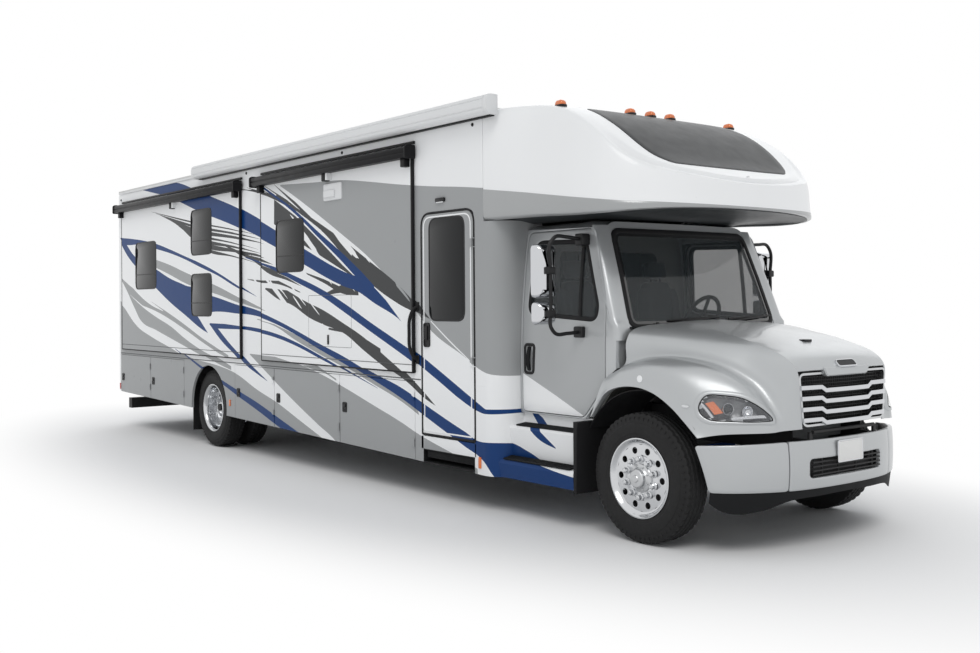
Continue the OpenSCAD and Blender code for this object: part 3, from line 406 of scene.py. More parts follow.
# %% [markdown]
# ## Camera and studio
#
# The camera stands off the right front corner at chest height, as a dealer's photographer would. The floor is a
# pale sheet that fades to white, so that the vehicle keeps its soft shadow and nothing else. The world is white
# to the camera, to glossy rays and through glass, and softer for the light itself, so that paint keeps its own
# colour.

# %% Camera
VIEW_FROM = np.array([5.7295, -7.1015, 1.8149])
HEADING, TILT, ROLL = 0.66629, -0.00512, -0.00796
forward = np.array([-math.cos(HEADING) * math.cos(TILT), math.sin(HEADING) * math.cos(TILT), -math.sin(TILT)])
level = np.array([math.sin(HEADING), math.cos(HEADING), 0.0])
rise = np.cross(level, forward)
right_axis = level * math.cos(ROLL) + rise * math.sin(ROLL)
up_axis = -level * math.sin(ROLL) + rise * math.cos(ROLL)
camera_data = bpy.data.cameras.new("camera")
camera_data.sensor_width = 36.0
camera_data.lens = 40.41
camera_data.shift_x, camera_data.shift_y = 0.0036, -0.0318
camera_data.clip_end = 200
camera = bpy.data.objects.new("camera", camera_data)
bpy.context.scene.collection.objects.link(camera)
place = np.eye(4)
place[:3, 0], place[:3, 1], place[:3, 2] = right_axis, up_axis, -forward
place[:3, 3] = VIEW_FROM + [AXLE, 0, 0]
from mathutils import Matrix
camera.matrix_world = Matrix(place.tolist())
bpy.context.scene.camera = camera
bpy.context.scene.view_settings.view_transform = "Standard"
print("camera at", [round(v, 2) for v in camera.location])

# %% World
LIGHT_LEVEL = 0.58
world = bpy.data.worlds.new("studio")
bpy.context.scene.world = world
world.use_nodes = True
tree = world.node_tree
tree.nodes.clear()
path = tree.nodes.new("ShaderNodeLightPath")
seen = tree.nodes.new("ShaderNodeMath")
seen.operation = "MAXIMUM"
through = tree.nodes.new("ShaderNodeMath")
through.operation = "MAXIMUM"
tree.links.new(path.outputs["Is Camera Ray"], seen.inputs[0])
tree.links.new(path.outputs["Is Glossy Ray"], seen.inputs[1])
tree.links.new(seen.outputs[0], through.inputs[0])
tree.links.new(path.outputs["Is Transmission Ray"], through.inputs[1])
soft = tree.nodes.new("ShaderNodeBackground")
soft.inputs["Color"].default_value = (0.96, 0.98, 1.0, 1)
soft.inputs["Strength"].default_value = LIGHT_LEVEL
plain = tree.nodes.new("ShaderNodeBackground")
plain.inputs["Color"].default_value = (1, 1, 1, 1)
plain.inputs["Strength"].default_value = 1.0
either = tree.nodes.new("ShaderNodeMixShader")
out = tree.nodes.new("ShaderNodeOutputWorld")
tree.links.new(through.outputs[0], either.inputs["Fac"])
tree.links.new(soft.outputs[0], either.inputs[1])
tree.links.new(plain.outputs[0], either.inputs[2])
tree.links.new(either.outputs[0], out.inputs["Surface"])

# %% Lamps
def lamp(name, kind, energy, position, aim, size, colour=(1, 1, 1)):
    """A lamp that points from position to aim."""
    data = bpy.data.lights.new(name, kind)
    data.energy = energy
    data.color = colour
    if kind == "AREA":
        data.shape, data.size = "DISK", size
    else:
        data.angle = size
    obj = bpy.data.objects.new(name, data)
    bpy.context.scene.collection.objects.link(obj)
    from mathutils import Vector
    start, end = Vector(position), Vector(aim)
    obj.location = start
    obj.rotation_euler = (end - start).to_track_quat("-Z", "Y").to_euler()
    return obj


lamp("high_key", "SUN", 0.85, (9, -8, 14), (0, 0, 0), math.radians(28), (1, 0.99, 0.97))
lamp("far_fill", "SUN", 0.25, (-6, 9, 8), (0, 0, 0), math.radians(50), (0.96, 0.98, 1))

# %% Floor
FLOOR_SIZE = 60.0
floor_mesh = bpy.data.meshes.new("floor")
half = FLOOR_SIZE / 2
floor_mesh.from_pydata([(-half, -half, 0), (half, -half, 0), (half, half, 0), (-half, half, 0)], [], [(0, 1, 2, 3)])
floor = bpy.data.objects.new("floor", floor_mesh)
bpy.context.scene.collection.objects.link(floor)
floor_mat = bpy.data.materials.new("floor_sheet")
floor_mat.use_nodes = True
tree = floor_mat.node_tree
tree.nodes.clear()
where = tree.nodes.new("ShaderNodeTexCoord")
squash = tree.nodes.new("ShaderNodeVectorMath")
squash.operation = "MULTIPLY"
squash.inputs[1].default_value = (1 / 7.6, 1 / 3.2, 0)
far = tree.nodes.new("ShaderNodeVectorMath")
far.operation = "LENGTH"
fade = tree.nodes.new("ShaderNodeMapRange")
fade.interpolation_type = "SMOOTHSTEP"
fade.inputs["From Min"].default_value = 0.72
fade.inputs["From Max"].default_value = 1.30
sheet_matt = tree.nodes.new("ShaderNodeBsdfDiffuse")
sheet_matt.inputs["Color"].default_value = (0.9, 0.9, 0.905, 1)
sheet_white = tree.nodes.new("ShaderNodeEmission")
sheet_white.inputs["Color"].default_value = (1, 1, 1, 1)
lit = tree.nodes.new("ShaderNodeMixShader")
sheet_out = tree.nodes.new("ShaderNodeOutputMaterial")
tree.links.new(where.outputs["Object"], squash.inputs[0])
tree.links.new(squash.outputs[0], far.inputs[0])
tree.links.new(far.outputs["Value"], fade.inputs["Value"])
tree.links.new(fade.outputs["Result"], lit.inputs["Fac"])
tree.links.new(sheet_matt.outputs[0], lit.inputs[1])
tree.links.new(sheet_white.outputs[0], lit.inputs[2])
tree.links.new(lit.outputs[0], sheet_out.inputs["Surface"])
floor_mesh.materials.append(floor_mat)

# %% [markdown]
# ## Finishes
#
# Real paint, rubber and plastic are never one flat colour. `finish` builds a material whose colour and roughness
# drift a little with a soft noise, with fine grain in its bump, all on Object coordinates so that nothing slides
# when a door swings. A constant such as metallic or coat is set on the shader's own socket.

# %% Finish builder
def node(tree, kind, **sockets):
    """Shader node with the given input values."""
    made = tree.nodes.new(kind)
    for key, value in sockets.items():
        made.inputs[key.replace("_", " ")].default_value = value
    return made


def noise(tree, source, size, detail=3.0, stretch=(1, 1, 1)):
    """Noise on Object coordinates: size is the number of features in a metre."""
    scale = tree.nodes.new("ShaderNodeMapping")
    scale.inputs["Scale"].default_value = stretch
    tree.links.new(source, scale.inputs["Vector"])
    made = node(tree, "ShaderNodeTexNoise", Scale=size, Detail=detail)
    tree.links.new(scale.outputs[0], made.inputs["Vector"])
    return made.outputs["Fac"]


def finish(name, colour, rough=0.4, metal=0.0, coat=0.0, vary=0.05, vary_size=1.5, grain=0.0, grain_size=150.0,
           stretch=(1, 1, 1), painted=None, dust=0.0, **constants):
    """Principled material: colour times 1 - vary to 1 + vary, roughness likewise, grain as bump, and a light
    dust that grows towards the ground. painted(tree, source) may give the colour instead."""
    mat = bpy.data.materials.new(name)
    mat.use_nodes = True
    tree = mat.node_tree
    shader = tree.nodes["Principled BSDF"]
    shader.inputs["Metallic"].default_value = metal
    shader.inputs["Coat Weight"].default_value = coat
    shader.inputs["Coat Roughness"].default_value = 0.05
    for key, value in constants.items():
        shader.inputs[key.replace("_", " ")].default_value = value
    source = tree.nodes.new("ShaderNodeTexCoord").outputs["Object"]
    drift = noise(tree, source, vary_size, 4.0, stretch)
    shade = tree.nodes.new("ShaderNodeMapRange")
    shade.inputs["To Min"].default_value, shade.inputs["To Max"].default_value = 1 - vary, 1 + vary
    tree.links.new(drift, shade.inputs["Value"])
    tone = tree.nodes.new("ShaderNodeVectorMath")
    tone.operation = "SCALE"
    if painted:
        tree.links.new(painted(tree, source), tone.inputs[0])
    else:
        tone.inputs[0].default_value = colour
    tree.links.new(shade.outputs["Result"], tone.inputs["Scale"])
    result = tone.outputs["Vector"]
    if dust:
        split = tree.nodes.new("ShaderNodeSeparateXYZ")
        tree.links.new(source, split.inputs[0])
        low_down = tree.nodes.new("ShaderNodeMapRange")
        low_down.inputs["From Min"].default_value, low_down.inputs["From Max"].default_value = 1.1, 0.1
        low_down.inputs["To Max"].default_value = dust
        tree.links.new(split.outputs["Z"], low_down.inputs["Value"])
        patchy = tree.nodes.new("ShaderNodeMath")
        patchy.operation = "MULTIPLY"
        tree.links.new(low_down.outputs["Result"], patchy.inputs[0])
        tree.links.new(drift, patchy.inputs[1])
        dusty = tree.nodes.new("ShaderNodeMix")
        dusty.data_type = "RGBA"
        dusty.inputs["B"].default_value = (0.17, 0.168, 0.165, 1)
        tree.links.new(patchy.outputs[0], dusty.inputs["Factor"])
        tree.links.new(result, dusty.inputs["A"])
        result = dusty.outputs["Result"]
    tree.links.new(result, shader.inputs["Base Color"])
    wear = tree.nodes.new("ShaderNodeMapRange")
    wear.inputs["To Min"].default_value, wear.inputs["To Max"].default_value = rough * 0.82, min(1, rough * 1.18)
    tree.links.new(noise(tree, source, vary_size * 6, 3.0, stretch), wear.inputs["Value"])
    tree.links.new(wear.outputs["Result"], shader.inputs["Roughness"])
    if grain:
        bump = node(tree, "ShaderNodeBump", Strength=grain, Distance=0.001)
        tree.links.new(noise(tree, source, grain_size, 2.0, stretch), bump.inputs["Height"])
        tree.links.new(bump.outputs[0], shader.inputs["Normal"])
    return mat


# %% [markdown]
# ## The sweeping stripes
#
# The sides carry long stripes that run across walls, slide-outs, doors and skirts at once. Cut vinyl could be
# modelled as thin sheets, but each would have to be split at every door. Painting is simpler: a stripe is the
# space between two curves, z above the lower one and below the upper one at each x. Every panel that shares the
# node group below carries its own part of the picture, and keeps it when it moves.

# %% Stripe curves, as (x, z) in metres
BLUE = (0.006, 0.042, 0.165)
SLATE = (0.058, 0.060, 0.062)
MIST = (0.352, 0.362, 0.368)
SNOW = (0.87, 0.88, 0.89)
GREY_FIELDS = [
    ([(-10.55, 1.90), (-10.2, 1.75), (-9.7, 1.49), (-9.2, 1.36), (-8.5, 1.22), (-8.0, 1.12), (-7.0, 1.03), (-6.6, 0.97),
      (-6.0, 0.80), (-5.5, 0.68), (-5.0, 0.53), (-4.5, 0.38), (-4.2, 0.30)], [(-10.55, 0.2), (-4.2, 0.2)]),
    ([(-10.4, 2.22), (-10.0, 2.08), (-9.5, 1.93), (-9.0, 1.80), (-8.5, 1.67), (-8.0, 1.53), (-7.5, 1.38), (-7.0, 1.25),
      (-6.7, 1.18)], [(-10.4, 2.22), (-10.1, 2.0), (-9.8, 1.75), (-9.55, 1.57), (-9.0, 1.45), (-8.5, 1.35),
                      (-8.0, 1.25), (-7.5, 1.15), (-7.0, 1.05), (-6.7, 1.0)]),
    ([(-6.2, 1.215), (-5.5, 1.205), (-5.0, 1.14), (-4.5, 1.05), (-4.0, 0.93), (-3.5, 0.80), (-3.0, 0.67), (-2.7, 0.58),
      (-2.0, 0.42), (-1.8, 0.36)], [(-6.2, 1.21), (-5.8, 1.03), (-5.4, 0.85), (-5.0, 0.68), (-4.6, 0.52),
                                    (-4.2, 0.36), (-4.0, 0.2), (-1.8, 0.2)]),
    ([(-6.0, 1.63), (-5.5, 1.57), (-5.0, 1.46), (-4.5, 1.33), (-4.0, 1.20), (-3.5, 1.06), (-3.0, 0.92), (-2.7, 0.80)],
     [(-6.0, 1.62), (-5.5, 1.55), (-5.0, 1.40), (-4.5, 1.27), (-4.0, 1.15), (-3.5, 1.01), (-3.0, 0.87), (-2.7, 0.76)]),
    ([(-9.3, 2.45), (-9.0, 2.42), (-8.5, 2.33), (-8.0, 2.22), (-7.5, 2.12), (-7.0, 2.02), (-6.5, 1.90), (-6.0, 1.78),
      (-5.7, 1.72)], [(-9.3, 2.37), (-9.0, 2.31), (-8.5, 2.20), (-8.0, 2.08), (-7.5, 1.99), (-7.0, 1.92),
                      (-6.5, 1.83), (-6.0, 1.75), (-5.7, 1.72)]),
    ([(-5.35, 3.13), (-4.6, 3.09), (-4.0, 3.06), (-3.5, 3.00), (-3.0, 2.93), (-2.5, 2.87), (-2.0, 2.82), (-1.7, 2.785),
      (-1.4, 2.75)], [(-5.35, 3.12), (-5.0, 2.97), (-4.5, 2.74), (-4.0, 2.50), (-3.5, 2.25), (-3.0, 1.93), (-2.75, 1.74),
                      (-2.5, 1.55), (-2.0, 1.33), (-1.7, 1.20), (-1.4, 1.17)]),
    ([(-4.9, 1.13), (-4.6, 1.145), (-4.5, 1.11), (-4.2, 1.02)], [(-4.9, 1.125), (-4.7, 1.10), (-4.4, 1.06), (-4.2, 1.0)]),
]
WHITE_CUTS = [
    ([(-10.0, 1.95), (-9.5, 1.79), (-9.0, 1.71), (-8.5, 1.60), (-8.0, 1.47), (-7.5, 1.33), (-7.0, 1.20), (-6.6, 1.12)],
     [(-10.0, 1.95), (-9.5, 1.77), (-9.0, 1.63), (-8.5, 1.51), (-8.0, 1.35), (-7.5, 1.22), (-7.0, 1.12), (-6.6, 1.02)]),
    ([(-10.1, 2.17), (-9.7, 2.02), (-9.2, 1.85), (-8.75, 1.72)], [(-10.1, 2.16), (-9.7, 1.97), (-9.2, 1.80), (-8.75, 1.71)]),
    ([(-2.5, 1.64), (-2.2, 1.46), (-1.9, 1.29)], [(-2.5, 1.63), (-2.2, 1.445), (-1.9, 1.28)]),
]
SLATE_FIELDS = [
    ([(-5.45, 3.03), (-5.0, 2.86), (-4.5, 2.66), (-4.0, 2.45), (-3.5, 2.22), (-3.0, 1.98), (-2.7, 1.80), (-2.5, 1.65)],
     [(-5.45, 3.01), (-4.9, 2.78), (-4.4, 2.55), (-4.0, 2.30), (-3.5, 2.01), (-3.0, 1.80), (-2.7, 1.71), (-2.5, 1.65)]),
    ([(-5.5, 2.98), (-5.0, 2.76), (-4.5, 2.48), (-4.0, 2.19), (-3.75, 2.06)],
     [(-5.5, 2.70), (-5.0, 2.50), (-4.5, 2.32), (-4.0, 2.14), (-3.75, 2.05)]),
    ([(-5.73, 1.985), (-5.2, 1.95), (-4.8, 1.83), (-4.4, 1.73), (-4.0, 1.60), (-3.6, 1.46), (-3.2, 1.28), (-2.9, 1.14),
      (-2.6, 0.97), (-2.42, 0.86)], [(-5.73, 1.97), (-5.4, 1.85), (-5.1, 1.79), (-4.7, 1.65), (-4.4, 1.58), (-4.0, 1.50),
                                     (-3.6, 1.33), (-3.2, 1.17), (-2.9, 1.06), (-2.6, 0.92), (-2.42, 0.86)]),
    ([(-4.4, 1.90), (-4.0, 2.0), (-3.7, 1.92)], [(-4.4, 1.88), (-4.0, 1.91), (-3.7, 1.88)]),
    ([(-4.8, 2.14), (-4.4, 2.06), (-4.0, 1.96), (-3.7, 1.89)], [(-4.8, 2.13), (-4.4, 2.02), (-4.0, 1.90), (-3.7, 1.88)]),
    ([(-6.3, 2.10), (-5.9, 2.075), (-5.4, 2.06), (-4.9, 1.93)], [(-6.3, 2.10), (-5.9, 2.05), (-5.4, 2.02), (-4.9, 1.92)]),
    ([(-4.3, 1.55), (-3.8, 1.52), (-3.3, 1.36)], [(-4.3, 1.53), (-3.8, 1.47), (-3.3, 1.30)]),
]
BLUE_FIELDS = [
    ([(-9.75, 3.47), (-8.6, 3.465), (-8.2, 3.40), (-7.8, 3.30), (-7.0, 3.10), (-6.4, 2.94), (-5.5, 2.64), (-4.8, 2.39),
      (-4.0, 2.13), (-3.65, 2.05), (-3.5, 2.0), (-3.2, 1.83), (-2.9, 1.61)],
     [(-9.75, 3.465), (-9.0, 3.33), (-8.6, 3.27), (-8.0, 3.11), (-7.6, 3.0), (-6.4, 2.71), (-5.5, 2.45), (-4.8, 2.22),
      (-4.0, 1.98), (-3.75, 1.93), (-3.4, 1.80), (-3.0, 1.66), (-2.9, 1.605)]),
    ([(-5.75, 3.14), (-5.5, 3.04), (-5.0, 2.82), (-4.5, 2.56), (-4.0, 2.31), (-3.65, 2.12), (-3.4, 1.97)],
     [(-5.75, 3.12), (-5.0, 2.78), (-4.5, 2.50), (-4.0, 2.22), (-3.7, 2.04), (-3.4, 1.90)]),
    ([(-6.3, 2.36), (-5.5, 2.22), (-5.0, 2.10), (-4.5, 1.97), (-4.0, 1.81), (-3.5, 1.62), (-3.0, 1.44), (-2.7, 1.33),
      (-2.4, 1.20), (-2.0, 1.02), (-1.8, 0.93), (-1.70, 0.885), (-1.4, 0.895)],
     [(-6.3, 2.35), (-5.5, 2.18), (-5.0, 2.04), (-4.5, 1.90), (-4.0, 1.72), (-3.5, 1.53), (-3.0, 1.345), (-2.7, 1.23),
      (-2.4, 1.10), (-2.0, 0.925), (-1.8, 0.86), (-1.70, 0.845), (-1.4, 0.865)]),
    ([(-1.4, 0.895), (-1.25, 0.83), (-1.1, 0.72), (-0.95, 0.62)], [(-1.4, 0.865), (-1.3, 0.78), (-1.15, 0.67), (-0.95, 0.61)]),
    ([(-10.45, 2.795), (-10.0, 2.76), (-9.5, 2.71), (-9.0, 2.64), (-8.5, 2.54), (-8.0, 2.43), (-7.5, 2.32), (-7.0, 2.19),
      (-6.5, 2.04), (-6.0, 1.89)], [(-10.45, 2.79), (-10.1, 2.67), (-9.5, 2.655), (-9.0, 2.57), (-8.5, 2.49), (-8.0, 2.39),
                                    (-7.5, 2.27), (-7.0, 2.155), (-6.5, 2.01), (-6.0, 1.885)]),
    ([(-10.45, 2.795), (-10.1, 2.67), (-9.8, 2.50), (-9.0, 2.29), (-8.5, 2.15), (-8.0, 2.05), (-7.68, 1.97), (-7.64, 1.67),
      (-7.3, 1.445)], [(-10.45, 2.79), (-10.1, 2.53), (-9.8, 2.37), (-9.0, 2.03), (-8.5, 1.83), (-8.0, 1.66), (-7.5, 1.49),
                       (-7.3, 1.44)]),
    ([(-8.0, 2.05), (-7.5, 1.95), (-7.0, 1.88), (-6.5, 1.80), (-6.0, 1.73), (-5.5, 1.63), (-5.0, 1.51), (-4.5, 1.38),
      (-4.0, 1.26), (-3.5, 1.12), (-3.0, 1.0), (-2.5, 0.83), (-2.0, 0.67), (-1.75, 0.60), (-1.55, 0.605), (-1.3, 0.55),
      (-1.1, 0.48), (-0.9, 0.45), (-0.6, 0.42)],
     [(-8.0, 1.98), (-7.66, 1.68), (-7.25, 1.70), (-7.0, 1.71), (-6.5, 1.69), (-6.0, 1.66), (-5.5, 1.58), (-5.0, 1.46),
      (-4.5, 1.32), (-4.0, 1.19), (-3.5, 1.05), (-3.0, 0.90), (-2.5, 0.72), (-2.0, 0.54), (-1.75, 0.45), (-1.6, 0.30),
      (-1.5, 0.20), (-0.6, 0.20)]),
    ([(-7.25, 1.565), (-6.8, 1.56), (-6.5, 1.545), (-6.0, 1.52), (-5.5, 1.47), (-5.0, 1.38), (-4.5, 1.26), (-4.0, 1.13),
      (-3.4, 0.97)], [(-7.25, 1.55), (-7.0, 1.50), (-6.5, 1.50), (-6.0, 1.475), (-5.5, 1.425), (-5.0, 1.34),
                      (-4.5, 1.225), (-4.0, 1.11), (-3.4, 0.965)]),
    ([(-7.25, 1.565), (-7.0, 1.50), (-6.7, 1.34), (-6.4, 1.20), (-6.1, 1.06), (-5.75, 0.92)],
     [(-7.25, 1.55), (-6.9, 1.35), (-6.55, 1.20), (-6.3, 1.08), (-6.0, 0.985), (-5.75, 0.915)]),
    ([(-8.35, 1.215), (-8.0, 1.125), (-7.6, 1.02), (-6.9, 0.85), (-6.5, 0.76), (-6.0, 0.65), (-5.5, 0.52), (-5.0, 0.39)],
     [(-8.35, 1.21), (-8.0, 1.105), (-7.6, 0.985), (-6.9, 0.80), (-6.5, 0.69), (-6.0, 0.56), (-5.5, 0.42), (-5.0, 0.29)]),
]


def fan_lines():
    """Thin dark lines that open like a fan towards the front. Each is given by three points of its middle, and
    swells to its full width at its second point."""
    middles = []
    for i in range(7):
        middles.append([(-9.15 + 0.16 * i, 3.09 - 0.035 * i), (-7.75 + 0.06 * i, 2.86 - 0.060 * i), (-5.95 + 0.10 * (i % 3), 2.60 - 0.055 * i)])
    for i in range(5):
        middles.append([(-6.95 + 0.20 * i, 2.56 - 0.045 * i), (-6.40 + 0.18 * i, 2.42 - 0.060 * i), (-5.75 + 0.22 * i, 2.33 - 0.085 * i)])
    for i in range(6):
        middles.append([(-6.75 + 0.25 * i, 3.20 - 0.010 * i), (-6.0 + 0.2 * i, 3.12 - 0.045 * i), (-5.2 + 0.16 * i, 2.93 - 0.075 * i)])
    lines = []
    for i, ((xa, za), (xb, zb), (xc, zc)) in enumerate(middles):
        width = 0.010 + 0.005 * (i % 3)
        shape = [(xa, za, 0.001), (xb, zb, width), (0.4 * xb + 0.6 * xc, 0.4 * zb + 0.6 * zc + 0.01, 0.8 * width), (xc, zc, 0.001)]
        lines.append(([(x, z + w) for x, z, w in shape], [(x, z - w) for x, z, w in shape]))
    return lines


# %% Stripe node group
TOP_Z = 3.6


def stripe_mask(tree, x, z, upper, lower):
    """1 between two curves of x, 0 outside: each Float Curve node holds one curve with x and z scaled to 0..1,
    and both start and end at the same height, so that nothing shows beyond their ends."""
    x0, x1 = upper[0][0], upper[-1][0]
    along = tree.nodes.new("ShaderNodeMapRange")
    along.inputs["From Min"].default_value = x0 + AXLE
    along.inputs["From Max"].default_value = x1 + AXLE
    tree.links.new(x, along.inputs["Value"])
    tests = []
    for line, test in ((upper, "LESS_THAN"), (lower, "GREATER_THAN")):
        curve = tree.nodes.new("ShaderNodeFloatCurve")
        points = curve.mapping.curves[0].points
        steps = [((px - x0) / (x1 - x0), pz / TOP_Z) for px, pz in line]
        if test == "LESS_THAN":
            steps = [(0.0, lower[0][1] / TOP_Z)] + [(max(u, 0.002), v) for u, v in steps]
            steps = [(min(u, 0.998), v) if u >= 1 else (u, v) for u, v in steps] + [(1.0, lower[-1][1] / TOP_Z)]
        points[0].location, points[1].location = steps[0], steps[-1]
        for step in steps[1:-1]:
            points.new(*step)
        for k, p in enumerate(curve.mapping.curves[0].points):
            p.handle_type = "AUTO_CLAMPED" if 2 < k < len(points) - 3 or (test == "GREATER_THAN" and 0 < k < len(points) - 1) else "VECTOR"
        curve.mapping.update()
        tree.links.new(along.outputs["Result"], curve.inputs["Value"])
        check = tree.nodes.new("ShaderNodeMath")
        check.operation = test
        tree.links.new(z, check.inputs[0])
        tree.links.new(curve.outputs["Value"], check.inputs[1])
        tests.append(check)
    inside = tree.nodes.new("ShaderNodeMath")
    inside.operation = "MULTIPLY"
    tree.links.new(tests[0].outputs[0], inside.inputs[0])
    tree.links.new(tests[1].outputs[0], inside.inputs[1])
    return inside.outputs[0]


def build_stripes(name, ground, layers):
    """Group that takes a point and gives the colour of the livery there, laid down in painter's order over the
    ground colour."""
    group = bpy.data.node_groups.new(name, "ShaderNodeTree")
    group.interface.new_socket("Vector", in_out="INPUT", socket_type="NodeSocketVector")
    group.interface.new_socket("Color", in_out="OUTPUT", socket_type="NodeSocketColor")
    into, outof = group.nodes.new("NodeGroupInput"), group.nodes.new("NodeGroupOutput")
    split = group.nodes.new("ShaderNodeSeparateXYZ")
    group.links.new(into.outputs[0], split.inputs[0])
    height = group.nodes.new("ShaderNodeMath")
    height.operation = "DIVIDE"
    height.inputs[1].default_value = TOP_Z
    group.links.new(split.outputs["Z"], height.inputs[0])
    base = group.nodes.new("ShaderNodeRGB")
    base.outputs[0].default_value = (*ground, 1)
    colour = base.outputs[0]
    for fields, tint in layers:
        cover = None
        for upper, lower in fields:
            mask = stripe_mask(group, split.outputs["X"], height.outputs[0], upper, lower)
            if cover is None:
                cover = mask
            else:
                either = group.nodes.new("ShaderNodeMath")
                either.operation = "MAXIMUM"
                group.links.new(cover, either.inputs[0])
                group.links.new(mask, either.inputs[1])
                cover = either.outputs[0]
        if fields is SLATE_FIELDS:
            cover = brushed(group, into.outputs[0], cover)
        lay = group.nodes.new("ShaderNodeMix")
        lay.data_type = "RGBA"
        lay.inputs["B"].default_value = (*tint, 1)
        group.links.new(cover, lay.inputs["Factor"])
        group.links.new(colour, lay.inputs["A"])
        colour = lay.outputs["Result"]
    group.links.new(colour, outof.inputs[0])
    return group


def brushed(tree, source, cover):
    """Dry-brush edge on the dark fields: streaks of noise, long along the stripes, cut the cover at their rear."""
    turn = tree.nodes.new("ShaderNodeMapping")
    turn.inputs["Rotation"].default_value = (0, math.radians(-34), 0)
    tree.links.new(source, turn.inputs["Vector"])
    pull = tree.nodes.new("ShaderNodeMapping")
    pull.inputs["Scale"].default_value = (1.1, 0.0, 13.0)
    tree.links.new(turn.outputs[0], pull.inputs["Vector"])
    streak = node(tree, "ShaderNodeTexNoise", Scale=1.0, Detail=2.0)
    tree.links.new(pull.outputs[0], streak.inputs["Vector"])
    split = tree.nodes.new("ShaderNodeSeparateXYZ")
    tree.links.new(source, split.inputs[0])
    reach = tree.nodes.new("ShaderNodeMapRange")
    reach.inputs["From Min"].default_value, reach.inputs["From Max"].default_value = AXLE - 5.6, AXLE - 3.2
    reach.inputs["To Min"].default_value, reach.inputs["To Max"].default_value = 0.45, 0.34
    tree.links.new(split.outputs["X"], reach.inputs["Value"])
    kept = tree.nodes.new("ShaderNodeMath")
    kept.operation = "GREATER_THAN"
    tree.links.new(streak.outputs["Fac"], kept.inputs[0])
    tree.links.new(reach.outputs["Result"], kept.inputs[1])
    both_on = tree.nodes.new("ShaderNodeMath")
    both_on.operation = "MULTIPLY"
    tree.links.new(cover, both_on.inputs[0])
    tree.links.new(kept.outputs[0], both_on.inputs[1])
    return both_on.outputs[0]


STRIPES = build_stripes("side_stripes", SNOW, [(GREY_FIELDS, MIST), (WHITE_CUTS, SNOW), (fan_lines(), SLATE), (SLATE_FIELDS, SLATE), (BLUE_FIELDS, BLUE)])
DOOR_WEDGE = [([(-1.50, 1.215), (-1.30, 1.135), (-1.05, 1.035), (-0.70, 0.885)], [(-1.50, 0.80), (-0.70, 0.80)])]
DOOR_PAINT = build_stripes("door_wedge", (0.40, 0.412, 0.42), [(DOOR_WEDGE, SNOW)])
print("stripe group nodes", len(STRIPES.nodes))


def from_group(group):
    """Painter that lays down a group's colour at a point."""
    def painted(tree, source):
        used = tree.nodes.new("ShaderNodeGroup")
        used.node_tree = group
        tree.links.new(source, used.inputs[0])
        return used.outputs[0]
    return painted


# %% Materials
LIVERY = finish("striped_gelcoat", SNOW, 0.30, coat=0.04, vary=0.02, painted=from_group(STRIPES), dust=0.10, Specular_IOR_Level=0.10)
GELCOAT = finish("white_gelcoat", SNOW, 0.30, coat=0.12, Specular_IOR_Level=0.35, vary=0.02, grain=0.04, grain_size=40)
SILVER = finish("silver_paint", (0.47, 0.485, 0.495), 0.34, metal=0.45, coat=0.35, vary=0.03, grain=0.10, grain_size=900, dust=0.10, Specular_IOR_Level=0.4)
COLUMN = finish("silver_corner_paint", (0.36, 0.37, 0.375), 0.32, metal=0.3, coat=0.4, vary=0.03, dust=0.1)
MOULDED = finish("white_moulding", (0.72, 0.73, 0.74), 0.45, vary=0.03, grain=0.15, grain_size=300)
ROOFING = finish("roof_membrane", (0.66, 0.66, 0.65), 0.75, vary=0.08, grain=0.5, grain_size=220)
BLACK = finish("black_trim", (0.009, 0.009, 0.010), 0.42, vary=0.15, grain=0.2, grain_size=500, Specular_IOR_Level=0.3)
RUBBER = finish("black_rubber", (0.008, 0.008, 0.009), 0.62, vary=0.2, grain=0.3, grain_size=350, Specular_IOR_Level=0.25)
FABRIC = finish("black_awning_cloth", (0.016, 0.016, 0.018), 0.8, vary=0.2, grain=0.8, grain_size=900, Sheen_Weight=0.3)
PLASTIC = finish("grained_plastic", (0.009, 0.0095, 0.0105), 0.6, vary=0.15, grain=0.3, grain_size=700, Specular_IOR_Level=0.15)
CHASSIS = finish("chassis_black", (0.012, 0.012, 0.013), 0.55, vary=0.3, vary_size=4, grain=0.35, grain_size=120, dust=0.12, Specular_IOR_Level=0.3)
CASTING = finish("engine_casting", (0.16, 0.165, 0.17), 0.6, metal=0.4, vary=0.2, vary_size=6, grain=0.8, grain_size=160)
ALLOY = finish("brushed_alloy", (0.55, 0.56, 0.57), 0.32, metal=1.0, vary=0.05, grain=0.2, grain_size=300, stretch=(1, 12, 12))
CHROME = finish("chrome", (0.60, 0.61, 0.63), 0.08, metal=1.0, vary=0.02)
POLISHED = finish("polished_alloy", (0.60, 0.61, 0.625), 0.14, metal=1.0, vary=0.04, vary_size=5, grain=0.05, grain_size=260)
TYRE = finish("tyre_rubber", (0.010, 0.010, 0.0105), 0.66, vary=0.25, vary_size=8, grain=0.4, grain_size=260, dust=0.03, Specular_IOR_Level=0.28)
GLASS_DARK = finish("privacy_glass", (0.007, 0.008, 0.009), 0.06, vary=0.1, Specular_IOR_Level=0.22)
FRIT = finish("glass_border", (0.006, 0.006, 0.007), 0.10, coat=1.0, vary=0.1)
AMBER = finish("amber_lens", (0.75, 0.16, 0.015), 0.18, coat=0.8, vary=0.08, vary_size=30)
RED = finish("red_lens", (0.45, 0.008, 0.008), 0.14, coat=0.9, vary=0.08, vary_size=30)
LAMP_BLACK = finish("lamp_housing", (0.16, 0.163, 0.168), 0.30, metal=0.7, vary=0.1)
PANELLING = finish("cabin_panel", (0.23, 0.225, 0.215), 0.6, vary=0.1, grain=0.4, grain_size=300)
LINER = finish("bay_liner", (0.10, 0.102, 0.105), 0.8, vary=0.2, grain=0.7, grain_size=260)
